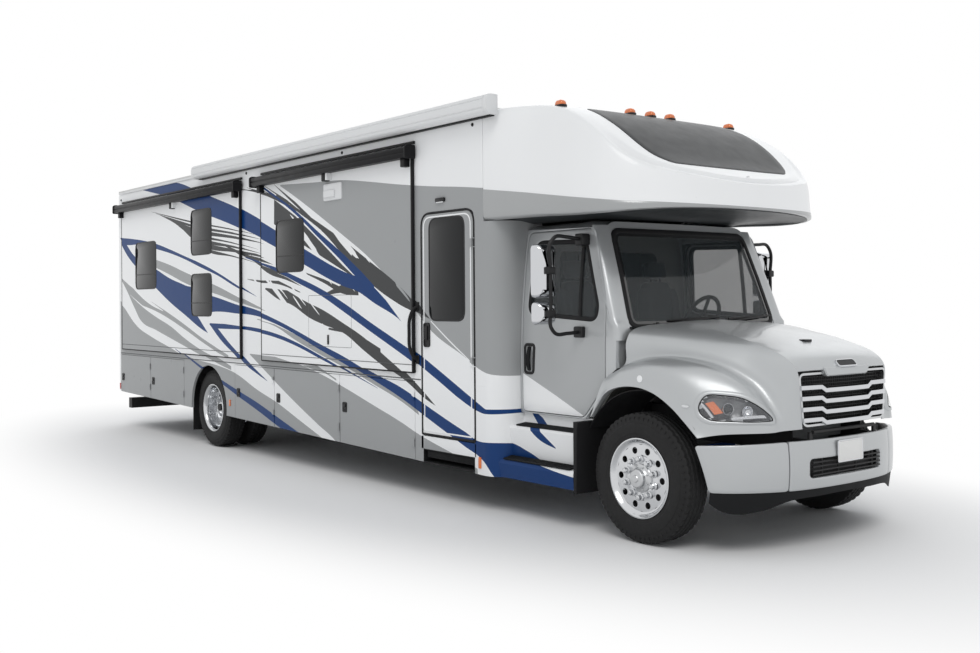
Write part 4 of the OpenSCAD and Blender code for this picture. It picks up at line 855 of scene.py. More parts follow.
FLOORING = finish("cabin_floor", (0.045, 0.043, 0.042), 0.5, vary=0.25, vary_size=3, stretch=(1, 8, 1), grain=0.2, grain_size=90)
CLOTH = finish("seat_cloth", (0.055, 0.056, 0.06), 0.85, vary=0.10, vary_size=14, grain=0.03, grain_size=500, Sheen_Weight=0.2)
BLANK = finish("blank_plate", (0.74, 0.74, 0.73), 0.4, vary=0.03, grain=0.1, grain_size=90)


def clear_glass(name, tint, rough=0.0):
    """Thin clear pane: it lets light and sight through, with a little tint, and mirrors at a slant."""
    mat = finish(name, tint, 0.03 + rough, vary=0.04, Specular_IOR_Level=0.5)
    shader = mat.node_tree.nodes["Principled BSDF"]
    shader.inputs["Alpha"].default_value = 0.36
    return mat


CLEAR = clear_glass("cab_glass", (0.045, 0.055, 0.06))
LENS = clear_glass("lamp_lens", (0.55, 0.57, 0.6))
LENS.node_tree.nodes["Principled BSDF"].inputs["Alpha"].default_value = 0.10
# The nose's underside is silver like the cab; its dark slate colour is painted shade from the overhang above it.
SHADED_SOFFIT = finish("underside_painted_shade", (0.030, 0.034, 0.037), 0.40, vary=0.1, Specular_IOR_Level=0.3)
SLOPE_GREY = finish("dark_slope_gelcoat", (0.030, 0.032, 0.034), 0.40, Specular_IOR_Level=0.18, vary=0.05, grain=0.05, grain_size=60)
AWNING_BLACK = finish("black_awning_case", (0.007, 0.007, 0.008), 0.40, vary=0.15, grain=0.1, grain_size=400, Specular_IOR_Level=0.16)
JOINT_LINE = finish("joint_line", (0.13, 0.135, 0.14), 0.6, vary=0.1, Specular_IOR_Level=0.1)
CAB_DOOR = finish("cab_door_paint", SNOW, 0.34, metal=0.15, coat=0.3, vary=0.03, grain=0.08, grain_size=900, painted=from_group(DOOR_PAINT), Specular_IOR_Level=0.3)

# %% [markdown]
# ## Finishes on the frame's own panels
#
# Flat walls, floors, frames and axles are already the right shape, so they stay and only get a finish. One table
# says which finish each kind of node takes.

# %% Dress the CAD nodes
DRESS = {
    "side_walls": LIVERY, "slideout": LIVERY, "skirts": LIVERY, "baggage_door": LIVERY, "entry_door": LIVERY,
    "cab_steps": LIVERY, "rear_wall": GELCOAT, "overcab": GELCOAT, "roof_units": MOULDED, "awning": MOULDED,
    "roof": ROOFING, "cab_shell": SILVER, "cab_door": SILVER, "hood": SILVER, "front_bumper": SILVER,
    "frame_rails": CHASSIS, "crossmembers": CHASSIS, "outriggers": CHASSIS, "axles": CHASSIS, "knuckle": CHASSIS,
    "hitch_receiver": CHASSIS, "ladder": BLACK, "mirror": BLACK, "entry_step": PLASTIC, "engine": CASTING,
    "fuel_tank": ALLOY, "tyre": TYRE, "rim": POLISHED, "grille": CHROME, "headlamps": LAMP_BLACK, "lamps": AMBER,
    "fixed_glass": GLASS_DARK, "dashboard": PLASTIC, "seats": CLOTH, "coach_floor": FLOORING, "baggage_bays": LINER,
}
for name, obj in nodes.items():
    key = max((k for k in DRESS if name.startswith(k)), key=len, default=None)
    chosen = GLASS_DARK if name.endswith("_glass") else DRESS[key]
    slots = obj.data.materials
    if len(slots) == 0:
        slots.append(chosen)
    for i in range(len(slots)):
        slots[i] = chosen
print("dressed", len(nodes), "nodes")

# %% [markdown]
# ## Wheels
#
# A truck tyre is a solid of revolution with a block tread. The section below is turned about the axle, and the
# tread's grooves are cut by pushing the grid's points inwards wherever a groove runs: straight ones round the
# tyre, zigzag ones across it. The rims are turned too, with their hand holes shown by dark dished discs set in a
# polished ring, and nuts on a circle.

# %% Tyre surface
def tyre_surface(centre, width, around=300):
    """Section (radius, offset) of sidewall and tread, turned about Y. On the tread the radius drops by 9 mm in
    four grooves round the tyre and, at the shoulders, in short cross grooves whose phase shifts side to side."""
    w = width / 2
    side = [(0.288, -w + 0.040), (0.293, -w + 0.018), (0.312, -w + 0.008), (0.330, -w + 0.006), (0.334, -w + 0.003),
            (0.360, -w - 0.000), (0.392, -w - 0.0), (0.410, -w + 0.003), (0.412, -w + 0.006), (0.440, -w + 0.012),
            (0.458, -w + 0.020), (0.470, -w + 0.024)]
    tread_y = np.linspace(-w + 0.030, w - 0.030, 57)
    crown = TYRE_R - 0.006 - 0.010 * (tread_y / w) ** 4
    section = np.array(side + list(zip(crown, tread_y)) + [(r, -y) for r, y in side[::-1]])
    t = np.linspace(0, 2 * np.pi, around, endpoint=False)
    r = np.broadcast_to(section[:, :1], (len(section), around)).copy()
    y = section[:, 1:2]
    on_tread = (np.abs(y) <= w - 0.028) & (r > 0.46)
    groove = np.zeros_like(r)
    for line in (-0.062, -0.021, 0.021, 0.062):
        wave = line + 0.003 * np.sin(50 * t)[None]
        groove = np.maximum(groove, np.clip(1.6 - np.abs(y - wave) / 0.0042, 0, 1))
    cross = np.clip(2.2 - np.abs(np.mod(t[None] * 50 / (2 * np.pi) + 0.5 * (y > 0), 1) - 0.5) / 0.09, 0, 1)
    groove = np.maximum(groove, cross * (np.abs(y) > 0.070))
    sipe = np.clip(1.5 - np.abs(np.mod(t[None] * 100 / (2 * np.pi) + y * 18, 1) - 0.5) / 0.08, 0, 1)
    groove = np.maximum(groove, 0.35 * sipe * (np.abs(y) < 0.062))
    r = r - 0.009 * groove * on_tread
    points = np.stack([r * np.cos(t), np.broadcast_to(y, r.shape), r * np.sin(t)], -1) + centre
    return grid(points, close_u=True, close_v=True)


def sidewall_marks(centre, width, side, count=60):
    """Short raised ribs on the shoulder of the sidewall, turned about the axle."""
    t = np.arange(count) * 2 * np.pi / count
    rib = block((0.425, -0.001, -0.0045), (0.455, 0.004, 0.0045), 0.001)
    y = centre[1] + side * (width / 2 - 0.013)
    parts = []
    for a in t:
        parts.append(turned((rib[0] * [1, side, 1] + [centre[0], y, centre[2]], rib[1]), math.degrees(a), np.array([centre[0], y, centre[2]])))
    return join(parts)


def nut_circle(centre, radius, count, y, side, across=0.044, length=0.046):
    """Lug nuts: small turned caps with a flange, on a circle round the axle."""
    cap = [(0.0001, length), (across * 0.24, length), (across * 0.42, length * 0.86), (across * 0.5, length * 0.62),
           (across * 0.5, length * 0.3), (across * 0.66, length * 0.22), (across * 0.66, 0), (0.0001, 0)]
    t = (np.arange(count) + 0.5) * 2 * np.pi / count
    return join([lathe([(r, d * side) for r, d in cap], (centre[0] + radius * math.cos(a), y, centre[2] + radius * math.sin(a)),
                       steps=12) for a in t])


# %% Rim surface
def rim_disc(centre, side, profile, holes, hole_r, hole_at, steps=160):
    """Turned rim: the profile turned about the axle. holes, hole_r and hole_at are not used."""
    q = np.array(profile)
    t = np.linspace(0, 2 * np.pi, steps, endpoint=False)
    points = np.stack([q[:, :1] * np.cos(t), np.broadcast_to(side * q[:, 1:], (len(q), steps)), q[:, :1] * np.sin(t)], -1)
    part, faces = grid(points + centre, close_v=True)
    return part, faces


def front_rim(centre, side):
    """Polished front rim: a bead ring, a flat disc pierced by ten holes, and a dished middle."""
    cx, cy, cz = centre
    face_y = cy + side * 0.118
    parts = [lathe([(0.287, side * 0.090), (0.292, side * 0.105), (0.2985, side * 0.112), (0.2985, side * 0.119), (0.290, side * 0.121),
                    (0.280, side * 0.112), (0.272, side * 0.098), (0.262, side * 0.090), (0.250, side * 0.0885), (0.249, side * 0.075),
                    (0.268, side * 0.040), (0.270, side * -0.095), (0.280, side * -0.110), (0.2855, side * -0.110),
                    (0.2855, side * 0.0)], centre, steps=120)]
    holes, ring_r, hole_r = 10, 0.2085, 0.0255
    parts.append(pierced_disc(centre, 0.163, 0.251, ring_r, hole_r, holes, side * 0.0885, side * 0.070))
    parts.append(lathe([(0.164, side * 0.0885), (0.164, side * 0.070), (0.06, side * 0.070), (0.06, side * 0.090),
                        (0.120, side * 0.093), (0.150, side * 0.094)], centre, steps=96))
    return join(parts)


def pierced_disc(centre, inner, outer, ring_r, hole_r, holes, y_out, y_in, per=24):
    """Flat ring with round holes through it. Each hole's sector is filled by lines from the hole's circle to the
    sector's border, so every face keeps four corners."""
    half_angle = math.pi / holes
    t = np.linspace(0, 2 * np.pi, per, endpoint=False)
    c, s = np.cos(t), np.sin(t)
    reach_r = np.where(c > 0, (outer - ring_r) / np.maximum(c, 1e-9), (ring_r - inner) / np.maximum(-c, 1e-9))
    reach_a = ring_r * half_angle / np.maximum(np.abs(s), 1e-9)
    reach = np.minimum(reach_r, reach_a)
    along = np.linspace(0, 1, 5)[:, None]
    rho = hole_r + (reach - hole_r) * along
    radius, angle = ring_r + rho * c, rho * s / ring_r
    parts = []
    for k in range(holes):
        a = angle + 2 * half_angle * k
        flat = [np.stack([radius * np.cos(a), np.full_like(a, y), radius * np.sin(a)], -1) + centre for y in (y_out, y_in)]
        wall = np.stack([flat[0][0], flat[1][0]])
        parts += [grid(flat[0], close_v=True), grid(flat[1], close_v=True), grid(wall, close_v=True)]
    return join(parts)


def front_hub(centre, side):
    """Turned hub cover: a flange, a dome, and a flat cap with a small plug."""
    s = side
    return join([lathe([(0.0001, s * 0.158), (0.022, s * 0.158), (0.026, s * 0.154), (0.028, s * 0.150), (0.060, s * 0.149),
                        (0.068, s * 0.142), (0.072, s * 0.120), (0.083, s * 0.108), (0.104, s * 0.100), (0.108, s * 0.094),
                        (0.108, s * 0.070), (0.0001, s * 0.070)], centre, steps=72),
                 nut_circle(centre, 0.086, 8, centre[1] + s * 0.104, s, 0.014, 0.012)])


def rear_rim(centre, side):
    """Dished rear rim: the disc lies deep inside a polished drum, and the axle's hub stands out of it."""
    s = side
    drum = lathe([(0.287, s * 0.090), (0.292, s * 0.105), (0.2985, s * 0.112), (0.2985, s * 0.119), (0.290, s * 0.121),
                  (0.278, s * 0.112), (0.268, s * 0.095), (0.262, s * 0.060), (0.260, s * -0.035), (0.252, s * -0.052),
                  (0.252, s * -0.080), (0.268, s * -0.100), (0.280, s * -0.110), (0.2855, s * -0.110), (0.2855, 0)], centre, steps=120)
    disc = pierced_disc(centre, 0.160, 0.2535, 0.2065, 0.0255, 10, s * -0.052, s * -0.070)
    middle = lathe([(0.162, s * -0.052), (0.162, s * -0.070), (0.05, s * -0.070), (0.05, s * -0.035), (0.118, s * -0.035),
                    (0.132, s * -0.046)], centre, steps=96)
    hub = lathe([(0.0001, s * 0.022), (0.060, s * 0.022), (0.070, s * 0.014), (0.072, s * -0.010), (0.095, s * -0.018), (0.100, s * -0.028),
                 (0.100, s * -0.060), (0.0001, s * -0.060)], centre, steps=72)
    return join([drum, disc, middle, hub, nut_circle(centre, 0.140, 10, centre[1] - s * 0.040, s),
                 nut_circle(centre, 0.082, 8, centre[1] - s * 0.016, s, 0.014, 0.014)])


# %% Make the wheels
TYRE_W = 0.250
for side_name, s in SIDES.items():
    low, high = span("tyre_front_" + side_name)
    centre = (low + high) / 2
    body = "wheel_front_" + side_name
    make("front_tyre_" + side_name, [tyre_surface(centre, TYRE_W), sidewall_marks(centre, TYRE_W, s)], TYRE, body,
         replaces="tyre_front_" + side_name, sharp=28)
    make("front_rim_" + side_name, [front_rim(centre, s), nut_circle(centre, 0.1425, 10, centre[1] + s * 0.093, s)], POLISHED, body,
         replaces="rim_front_" + side_name, sharp=25)
    make("front_hub_" + side_name, front_hub(centre, s), ALLOY, body, sharp=25)
    make("front_brake_drum_" + side_name, lathe([(0.0001, s * 0.060), (0.215, s * 0.060), (0.225, s * 0.050), (0.225, s * -0.09),
         (0.16, s * -0.10), (0.16, s * -0.02), (0.05, s * -0.02), (0.05, s * 0.05), (0.0001, s * 0.05)], centre, steps=64), CHASSIS, body)
    low, high = span("tyres_rear_" + side_name)
    body = "wheels_rear_" + side_name
    y_out = high[1] if s > 0 else low[1]
    mid = (low + high) / 2
    outer = np.array([mid[0], y_out - s * 0.1275, TYRE_R])
    inner = outer - [0, s * 0.335, 0]
    make("rear_tyres_" + side_name, [tyre_surface(outer, TYRE_W), tyre_surface(inner, TYRE_W), sidewall_marks(outer, TYRE_W, s)],
         TYRE, body, replaces="tyres_rear_" + side_name, sharp=28)
    make("rear_rim_" + side_name, rear_rim(outer, s), POLISHED, body, replaces="rims_rear_" + side_name, sharp=25)
    make("rear_inner_rim_" + side_name, [lathe([(0.262, s * -0.10), (0.280, s * -0.118), (0.2945, s * -0.118), (0.2945, s * -0.108),
         (0.2855, s * -0.10), (0.2855, s * 0.10), (0.2945, s * 0.108), (0.2945, s * 0.118), (0.280, s * 0.118), (0.262, s * 0.10),
         (0.262, s * 0.07), (0.05, s * 0.07), (0.05, s * 0.05), (0.258, s * 0.05), (0.258, s * -0.08)], inner, steps=80)],
         POLISHED, body)

# %% [markdown]
# ## Bonnet and front wings
#
# The bonnet and both wings are one moulding that tilts forward. A designer would draw it as a few character
# lines that run from the screen to the bumper: the middle line, the crease beside it, the soft shoulder, the
# hollow over the wing, the wing's crest, its outer bulge and the lip of the wheel arch. Each line below is a
# smooth curve with a shared parameter, and a second set of curves is drawn across them.

# %% Character lines of the bonnet
STATIONS = [0, 0.2, 0.42, 0.62, 0.74, 0.82, 0.91, 1.0]
GRILLE_STATION = 0.82
BONNET_LINES = {
    "crease": [(-0.30, 0.40, 1.632), (0.0, 0.46, 1.600), (0.30, 0.525, 1.553), (0.62, 0.555, 1.478), (0.86, 0.556, 1.392),
               (0.955, 0.548, 1.296), (0.959, 0.525, 1.09), (0.960, 0.503, 0.885)],
    "shoulder": [(-0.30, 0.86, 1.598), (0.0, 0.78, 1.57), (0.30, 0.695, 1.515), (0.60, 0.63, 1.435), (0.80, 0.602, 1.345),
                 (0.900, 0.585, 1.245), (0.930, 0.565, 1.07), (0.942, 0.55, 0.882)],
    "flank": [(-0.30, 0.985, 1.50), (0.0, 0.885, 1.475), (0.30, 0.785, 1.43), (0.58, 0.70, 1.34), (0.76, 0.655, 1.23),
              (0.85, 0.632, 1.13), (0.900, 0.615, 1.0), (0.918, 0.605, 0.879)],
    "hollow": [(-0.30, 0.990, 1.345), (-0.02, 0.905, 1.380), (0.28, 0.820, 1.362), (0.55, 0.752, 1.282), (0.72, 0.708, 1.175),
               (0.80, 0.687, 1.08), (0.865, 0.668, 0.97), (0.897, 0.66, 0.876)],
    "crest": [(-0.34, 1.015, 1.285), (-0.05, 1.010, 1.378), (0.26, 0.985, 1.366), (0.52, 0.930, 1.288), (0.69, 0.875, 1.180),
              (0.78, 0.830, 1.09), (0.845, 0.795, 0.98), (0.872, 0.78, 0.870)],
    "bulge": [(-0.42, 1.12, 1.190), (-0.16, 1.135, 1.300), (0.14, 1.140, 1.310), (0.37, 1.110, 1.225), (0.50, 1.075, 1.125),
              (0.58, 1.045, 1.04), (0.640, 1.020, 0.95), (0.670, 1.005, 0.860)],
    "arch_edge": [(-0.535, 1.152, 0.905), (-0.36, 1.163, 1.105), (-0.08, 1.168, 1.172), (0.18, 1.163, 1.118), (0.33, 1.152, 1.025),
                  (0.415, 1.143, 0.95), (0.480, 1.137, 0.89), (0.535, 1.130, 0.835)],
}
MIDDLE_LINE = [(-0.30, 0, 1.645), (0.0, 0, 1.615), (0.34, 0, 1.560), (0.68, 0, 1.478), (0.92, 0, 1.398), (1.000, 0, 1.305)]
ACROSS = 6
BONNET_SKIN = 0.010


def bonnet_side(samples=72):
    """Right half outside the crease: the character lines are the rails, and each station is a smooth curve
    through the seven of them, with six samples between neighbours."""
    s = np.linspace(0, 1, samples)
    rails = np.stack([spline(line, s, STATIONS) for line in BONNET_LINES.values()])
    points = spline(rails, ACROSS * (len(rails) - 1) + 1, np.arange(len(rails)))
    return points.transpose(1, 0, 2) * [1, -1, 1]


def bonnet_top(samples=60, across=25):
    """Middle between the two creases, down to the top of the grille: at each station a parabola between the
    crease on either side and the middle line."""
    s = np.linspace(0, GRILLE_STATION, samples)
    edge = spline(BONNET_LINES["crease"], s, STATIONS)
    middle = spline(MIDDLE_LINE, s, STATIONS[:6])
    k = np.linspace(-1, 1, across)[None, :, None]
    points = middle[:, None] + (edge[:, None] - middle[:, None]) * k ** 2
    points[..., 1] = edge[:, None, 1] * k[..., 0]
    return points


side_grid, top_grid = bonnet_side(), bonnet_top()


def surface_point(s, t):
    """Point and outward normal of the right half at station s and line number t, both arrays: the grid is read
    between its own points by two straight blends."""
    n = normals(side_grid)
    outward = n[int(0.84 * len(n)), int(4.6 * ACROSS)] @ [0.5, -1.0, 0.3]
    n = n if outward > 0 else -n
    u = np.clip(np.asarray(s) * (side_grid.shape[0] - 1), 0, side_grid.shape[0] - 1.001)
    v = np.clip(np.asarray(t) * ACROSS, 0, side_grid.shape[1] - 1.001)
    i, j = u.astype(int), v.astype(int)
    fu, fv = (u - i)[..., None], (v - j)[..., None]
    def read(a):
        return ((1 - fu) * (1 - fv) * a[i, j] + fu * (1 - fv) * a[i + 1, j] + (1 - fu) * fv * a[i, j + 1] + fu * fv * a[i + 1, j + 1])
    return read(side_grid), read(n)


# %% Headlamp outline on the wing
LAMP_CORNERS = [(0.801, 5.30), (0.763, 5.01), (0.749, 4.77), (0.767, 4.51), (0.795, 4.21), (0.838, 4.00), (0.879, 3.79), (0.911, 3.58),
                (0.930, 3.66), (0.934, 4.26), (0.920, 4.71), (0.895, 5.15), (0.849, 5.34)]
SURROUND_CORNERS = [(0.79, 5.44), (0.74, 5.08), (0.722, 4.72), (0.742, 4.37), (0.772, 3.99), (0.815, 3.56), (0.868, 3.10), (0.928, 3.16),
                    (0.956, 3.63), (0.950, 4.34), (0.938, 4.87), (0.911, 5.36), (0.849, 5.55)]


def lamp_outline(grow=0.0, samples=80):
    """Closed smooth curve in the bonnet's own two parameters. grow moves it towards the outline of the bright
    surround, which it reaches at 1."""
    c = np.array(LAMP_CORNERS) + grow * (np.array(SURROUND_CORNERS) - np.array(LAMP_CORNERS))
    closed = spline(np.vstack([c, c[:3]]), np.linspace(1, len(c) + 1, samples, endpoint=False), np.arange(len(c) + 3))
    return closed


def inside_lamp(points):
    """True where a point of the side grid, taken by its two parameters, lies within the lamp's outline: the
    winding angle of the outline seen from it is a full turn."""
    nu, nv = points.shape[:2]
    s, t = np.meshgrid(np.linspace(0, 1, nu), np.arange(nv) / ACROSS, indexing="ij")
    o = lamp_outline(0.25)
    d = (o[None, None, :, 0] - s[..., None]) + 1j * (o[None, None, :, 1] - t[..., None]) * 0.1
    turn = np.angle(np.roll(d, -1, 2) / d).sum(2)
    return np.abs(turn) > np.pi


def without(part, keep):
    """Part without the quads whose four corners are all False in keep."""
    points, faces = part
    return points, [f[~np.all(~keep.ravel()[f], axis=1)] for f in faces]


def bonnet_panel():
    """Outer and inner skin of the right half, joined along their edges, with the lamp's opening left out."""
    n = normals(side_grid)
    outward = n[int(0.84 * len(n)), int(4.6 * ACROSS)] @ [0.5, -1.0, 0.3]
    n = n if outward > 0 else -n
    inner = side_grid - n * BONNET_SKIN
    keep = ~inside_lamp(side_grid)
    loop = np.stack([side_grid, inner])
    return join([without(grid(side_grid), keep), without(grid(inner), keep), grid(loop[:, 0]), grid(loop[:, -1]),
                 grid(loop[:, :, 0]), grid(loop[:, :, -1])])


def arch_return():
    """Flange inside the wheel arch: the arch's edge swept 60 mm inwards."""
    edge = side_grid[:, -1]
    middle = np.array([0, edge[:, 1].mean(), TYRE_R])
    out = edge - middle
    out[:, 1] = 0
    out /= np.linalg.norm(out, axis=1, keepdims=True)
    strip = np.stack([edge, edge + [0, 0.02, 0] - out * 0.004, edge + [0, 0.06, 0] + out * 0.002], 1)
    return shell(strip, 0.006, (0, 0, 1))


make("bonnet", [both(bonnet_panel()), shell(top_grid, BONNET_SKIN, (0, 0, 1)), both(arch_return())], SILVER, "hood",
     replaces="hood", sharp=40)

# %% [markdown]
# ## Headlamps
#
# A headlamp is a dark bowl with a bright reflector and an amber corner, behind a clear lens that carries on the
# wing's own curve. The lens is the wing's surface inside the lamp's outline, lifted a few millimetres, and the
# bowl is the same patch pushed inwards. A bright bead covers the joint.

# %% Lamp surfaces
def lamp_patch(heights, grow=0.0, samples=80):
    """Rings from the lamp's outline to its centre: heights gives, for each ring, its share of the outline's size
    and its offset along the wing's normal."""
    o = lamp_outline(grow, samples)
    centre = o.mean(0)
    rings = []
    for share, lift in heights:
        q = centre + (o - centre) * share
        p, n = surface_point(q[:, 0], q[:, 1])
        rings.append(p + n * lift)
    return np.stack(rings)


def on_wing(flat, lift):
    """Points of the wing at (station, line) parameters, raised by lift."""
    p, n = surface_point(flat[:, 0], flat[:, 1])
    return p + n * lift


def bead(grow, radius, sides=10):
    """Round bead along the lamp's outline."""
    line = lamp_patch([(1.0, 0.002)], grow)[0]
    return tube(line, radius, sides, loop=True)


lens_out = [(1.0, 0.001), (0.97, 0.004), (0.8, 0.006), (0.5, 0.007), (0.25, 0.007), (0.02, 0.007)]
lens_in = [(0.02, 0.004), (0.25, 0.004), (0.5, 0.004), (0.8, 0.003), (0.97, 0.001), (1.0, -0.003)]
make("headlamp_lens", both(grid(lamp_patch(lens_out + lens_in), close_u=True, close_v=True)), LENS, "hood", replaces="headlamps")
bowl_out = [(1.02, -0.002), (0.98, -0.030), (0.90, -0.060), (0.6, -0.075), (0.3, -0.080), (0.02, -0.080)]
make("headlamp_bowl", both(grid(lamp_patch(bowl_out + [(k, d - 0.006) for k, d in bowl_out[::-1]]), close_u=True, close_v=True)),
     LAMP_BLACK, "hood")
surround = np.stack([on_wing(lamp_outline(g), d) for g, d in ((0.02, -0.02), (0.02, 0.001), (0.12, 0.006), (0.35, 0.009), (0.7, 0.007),
                                                              (0.95, 0.002), (1.0, -0.004), (0.6, -0.012))])
make("headlamp_surround", both(grid(surround, close_u=True, close_v=True)), SILVER, "hood")
make("headlamp_seal", both(bead(0.02, 0.0045)), BLACK, "hood")


def lamp_unit(s, t, radius, depth, lift):
    """A bright turned cup that looks forward, set in the bowl at (s, t)."""
    p, n = surface_point(np.array([s]), np.array([t]))
    centre = p[0] + n[0] * lift
    cup = [(0.001, -depth), (radius * 0.5, -depth * 0.8), (radius * 0.85, -depth * 0.4), (radius, 0.0), (radius * 1.06, 0.0),
           (radius * 1.06, -depth * 0.5), (radius * 0.7, -depth * 1.2), (0.001, -depth * 1.3)]
    part = lathe(cup, (0, 0, 0), "x", 40)
    return moved(turned(part, -22, np.zeros(3), "z"), centre)


make("headlamp_reflectors", both(join([lamp_unit(0.842, 4.64, 0.040, 0.035, -0.016), lamp_unit(0.872, 4.30, 0.040, 0.035, -0.016)])),
     CHROME, "hood")
p, n = surface_point(np.array([0.842]), np.array([4.64]))
ball = lathe([(0.001, 0.030), (0.014, 0.027), (0.024, 0.018), (0.029, 0.004), (0.029, -0.01), (0.001, -0.01)], (0, 0, 0), "x", 32)
make("headlamp_projector", both(moved(turned(ball, -22, np.zeros(3), "z"), p[0] + n[0] * -0.046)), GLASS_DARK, "hood")


def lamp_strip(s0, s1, t0, t1, low, high, samples=14):
    """Small closed block that follows the wing between four parameter values."""
    s, t = np.meshgrid(np.linspace(s0, s1, samples), np.linspace(t0, t1, samples), indexing="ij")
    p, n = surface_point(s, t)
    return shell(p + n * high, high - low, n[samples // 2, samples // 2])


make("headlamp_indicator", both(lamp_strip(0.785, 0.86, 4.80, 5.02, -0.040, -0.010)), AMBER, "hood")
make("headlamp_brightwork", both(join([lamp_strip(0.775, 0.875, 5.08, 5.16, -0.040, -0.012), lamp_strip(0.895, 0.912, 3.75, 4.7, -0.05, -0.020)])),
     CHROME, "hood")

# %% Wing marker, emblem disc and washer jet
p, n = surface_point(np.array([0.758, 0.42]), np.array([5.60, 5.62]))
marker = tube(p[0] + n[0] * 0.004 + np.linspace(-1, 1, 9)[:, None] * np.array([0.028, 0.006, -0.002]),
              0.010 * np.sqrt(np.clip(1 - np.linspace(-1, 1, 9) ** 4, 0.05, 1)), 12)
make("wing_marker_lamps", both(marker), MOULDED, "hood")
disc = tube(np.stack([p[1] - n[1] * 0.004, p[1] + n[1] * 0.003, p[1] + n[1] * 0.006]), np.array([0.026, 0.026, 0.018]), 28)
make("wing_discs", both(disc), GELCOAT, "hood")
scoop_x = np.linspace(0.62, 0.70, 5)
scoop = spline(MIDDLE_LINE, [0.60, 0.62], STATIONS[:6])
make("washer_jet", block((0.60, -0.045, 1.484), (0.66, 0.045, 1.503), 0.006), BLACK, "hood")

# %% [markdown]
# ## Wheel arch liners
#
# Under the wings, black liners shaped like half a barrel keep the spray off the engine.

# %% Liners
def arch_liner(radius, y0, y1, centre_x, centre_z, start, end, thickness=0.006, steps=40):
    """Part of a cylinder about the wheel's axle, between two angles in degrees, with a wall of its own."""
    a = np.radians(np.linspace(start, end, steps))
    arc = np.stack([centre_x + radius * np.cos(a), np.zeros_like(a), centre_z + radius * np.sin(a)], -1)
    rows = np.stack([arc + [0, y, 0] for y in np.linspace(y0, y1, 6)], 1)
    return shell(rows, thickness, (0, 0, 1))


make("front_wing_liners", both(arch_liner(0.652, -1.125, -0.62, -0.01, TYRE_R, 38, 150)), RUBBER, "hood")

# %% [markdown]
# ## Grille
#
# A dark mesh lies behind four bright bars. Each bar drops by a step near the middle, so its path has two short
# slopes, and the whole grille bows forward a little in plan.

# %% Grille bars and frame
def bow(y):
    """x of the grille's face at y: a parabola that falls 40 mm from the middle to its sides."""
    return 0.994 - 0.034 * (np.asarray(y) / 0.53) ** 2


def ribbon(path, width, thick, up=(0, 0, 1), edge=0.25):
    """Rounded rectangle carried along a path, width along up and thick across it."""
    p = np.asarray(path, float)
    d = np.gradient(p, axis=0)
    d /= np.linalg.norm(d, axis=1, keepdims=True)
    across = np.cross(d, up)
    across /= np.linalg.norm(across, axis=1, keepdims=True)
    upward = np.cross(across, d)
    o = rectangle(-thick / 2, -width / 2, thick / 2, width / 2, edge * min(width, thick), 4)
    rings = p[:, None] + o[None, :, :1] * across[:, None] + o[None, :, 1:] * upward[:, None]
    return capped(rings)


def stepped_bar(z, half, drop=0.026):
    """Path of one bar: level, a slope down at |y| = 0.30, and level again in the middle."""
    y = np.concatenate([np.linspace(-half, -0.31, 6), np.linspace(-0.265, 0.265, 12), np.linspace(0.31, half, 6)])
    return np.stack([bow(y), y, np.where(np.abs(y) > 0.3, z, z - drop)], 1)


GRILLE_LOW, GRILLE_HIGH = 0.905, 1.272
bar_levels = np.linspace(GRILLE_LOW + 0.040, GRILLE_HIGH - 0.095, 4)
bars = [ribbon(stepped_bar(z, 0.500 + 0.036 * (z - GRILLE_LOW) / 0.37), 0.034, 0.028) for z in bar_levels]
corners = [(-0.505, GRILLE_LOW - 0.008), (0.505, GRILLE_LOW - 0.008), (0.545, GRILLE_HIGH + 0.010), (-0.545, GRILLE_HIGH + 0.010)]
outline = rounded_outline(corners, 0.055, 8)
frame_path = np.column_stack([bow(outline[:, 0]) - 0.004, outline])


def framed(outline_yz, width, depth, shift=0.0):
    """Frame round an outline on the bowed face: an inner and an outer outline, each at two depths."""
    inner = inset(outline_yz, width)
    def ring_at(o, dx):
        return np.column_stack([bow(o[:, 0]) + dx, o])
    rings = np.stack([ring_at(outline_yz, shift - depth), ring_at(outline_yz, shift), ring_at(inner, shift), ring_at(inner, shift - depth)])
    return grid(rings, close_u=True, close_v=True)


make("grille_bars", bars, CHROME, "hood", replaces="grille")
make("grille_frame", framed(outline, 0.016, 0.06, 0.004), ALLOY, "hood")
y, z = np.meshgrid(np.linspace(-0.535, 0.535, 40), np.linspace(GRILLE_LOW - 0.005, GRILLE_HIGH + 0.03, 14), indexing="ij")
make("grille_backing", shell(np.stack([bow(y) - 0.075, y, z], -1), 0.006, (1, 0, 0)), BLACK, "hood")
slats = [rod((float(bow(y)) - 0.045, y, GRILLE_LOW), (float(bow(y)) - 0.045, y, GRILLE_HIGH + 0.01), 0.004, 8)
         for y in np.linspace(-0.5, 0.5, 41)]
rows = [ribbon(np.stack([bow(t) - 0.040, t, np.full_like(t, z)], 1), 0.006, 0.006) for z in np.linspace(GRILLE_LOW + 0.02, GRILLE_HIGH, 15)
        for t in [np.linspace(-0.52, 0.52, 24)]]
make("grille_mesh", slats + rows, BLACK, "hood")

# Bridge of body colour that dips over the grille's middle, with a bare oval moulding on it
bridge = rounded_outline([(-0.29, GRILLE_HIGH + 0.045), (-0.25, GRILLE_HIGH - 0.022), (0.25, GRILLE_HIGH - 0.022), (0.29, GRILLE_HIGH + 0.045)], 0.02, 6)
rings = np.stack([np.column_stack([bow(o[:, 0]) + dx, o]) for o, dx in ((bridge, -0.03), (bridge, 0.004), (inset(bridge, 0.008), 0.012))])
make("grille_bridge", capped(rings), SILVER, "hood")
BADGE_AT, BADGE_UP = np.array([0.978, 0.0, 1.334]), np.array([-0.655, 0.0, 0.756])


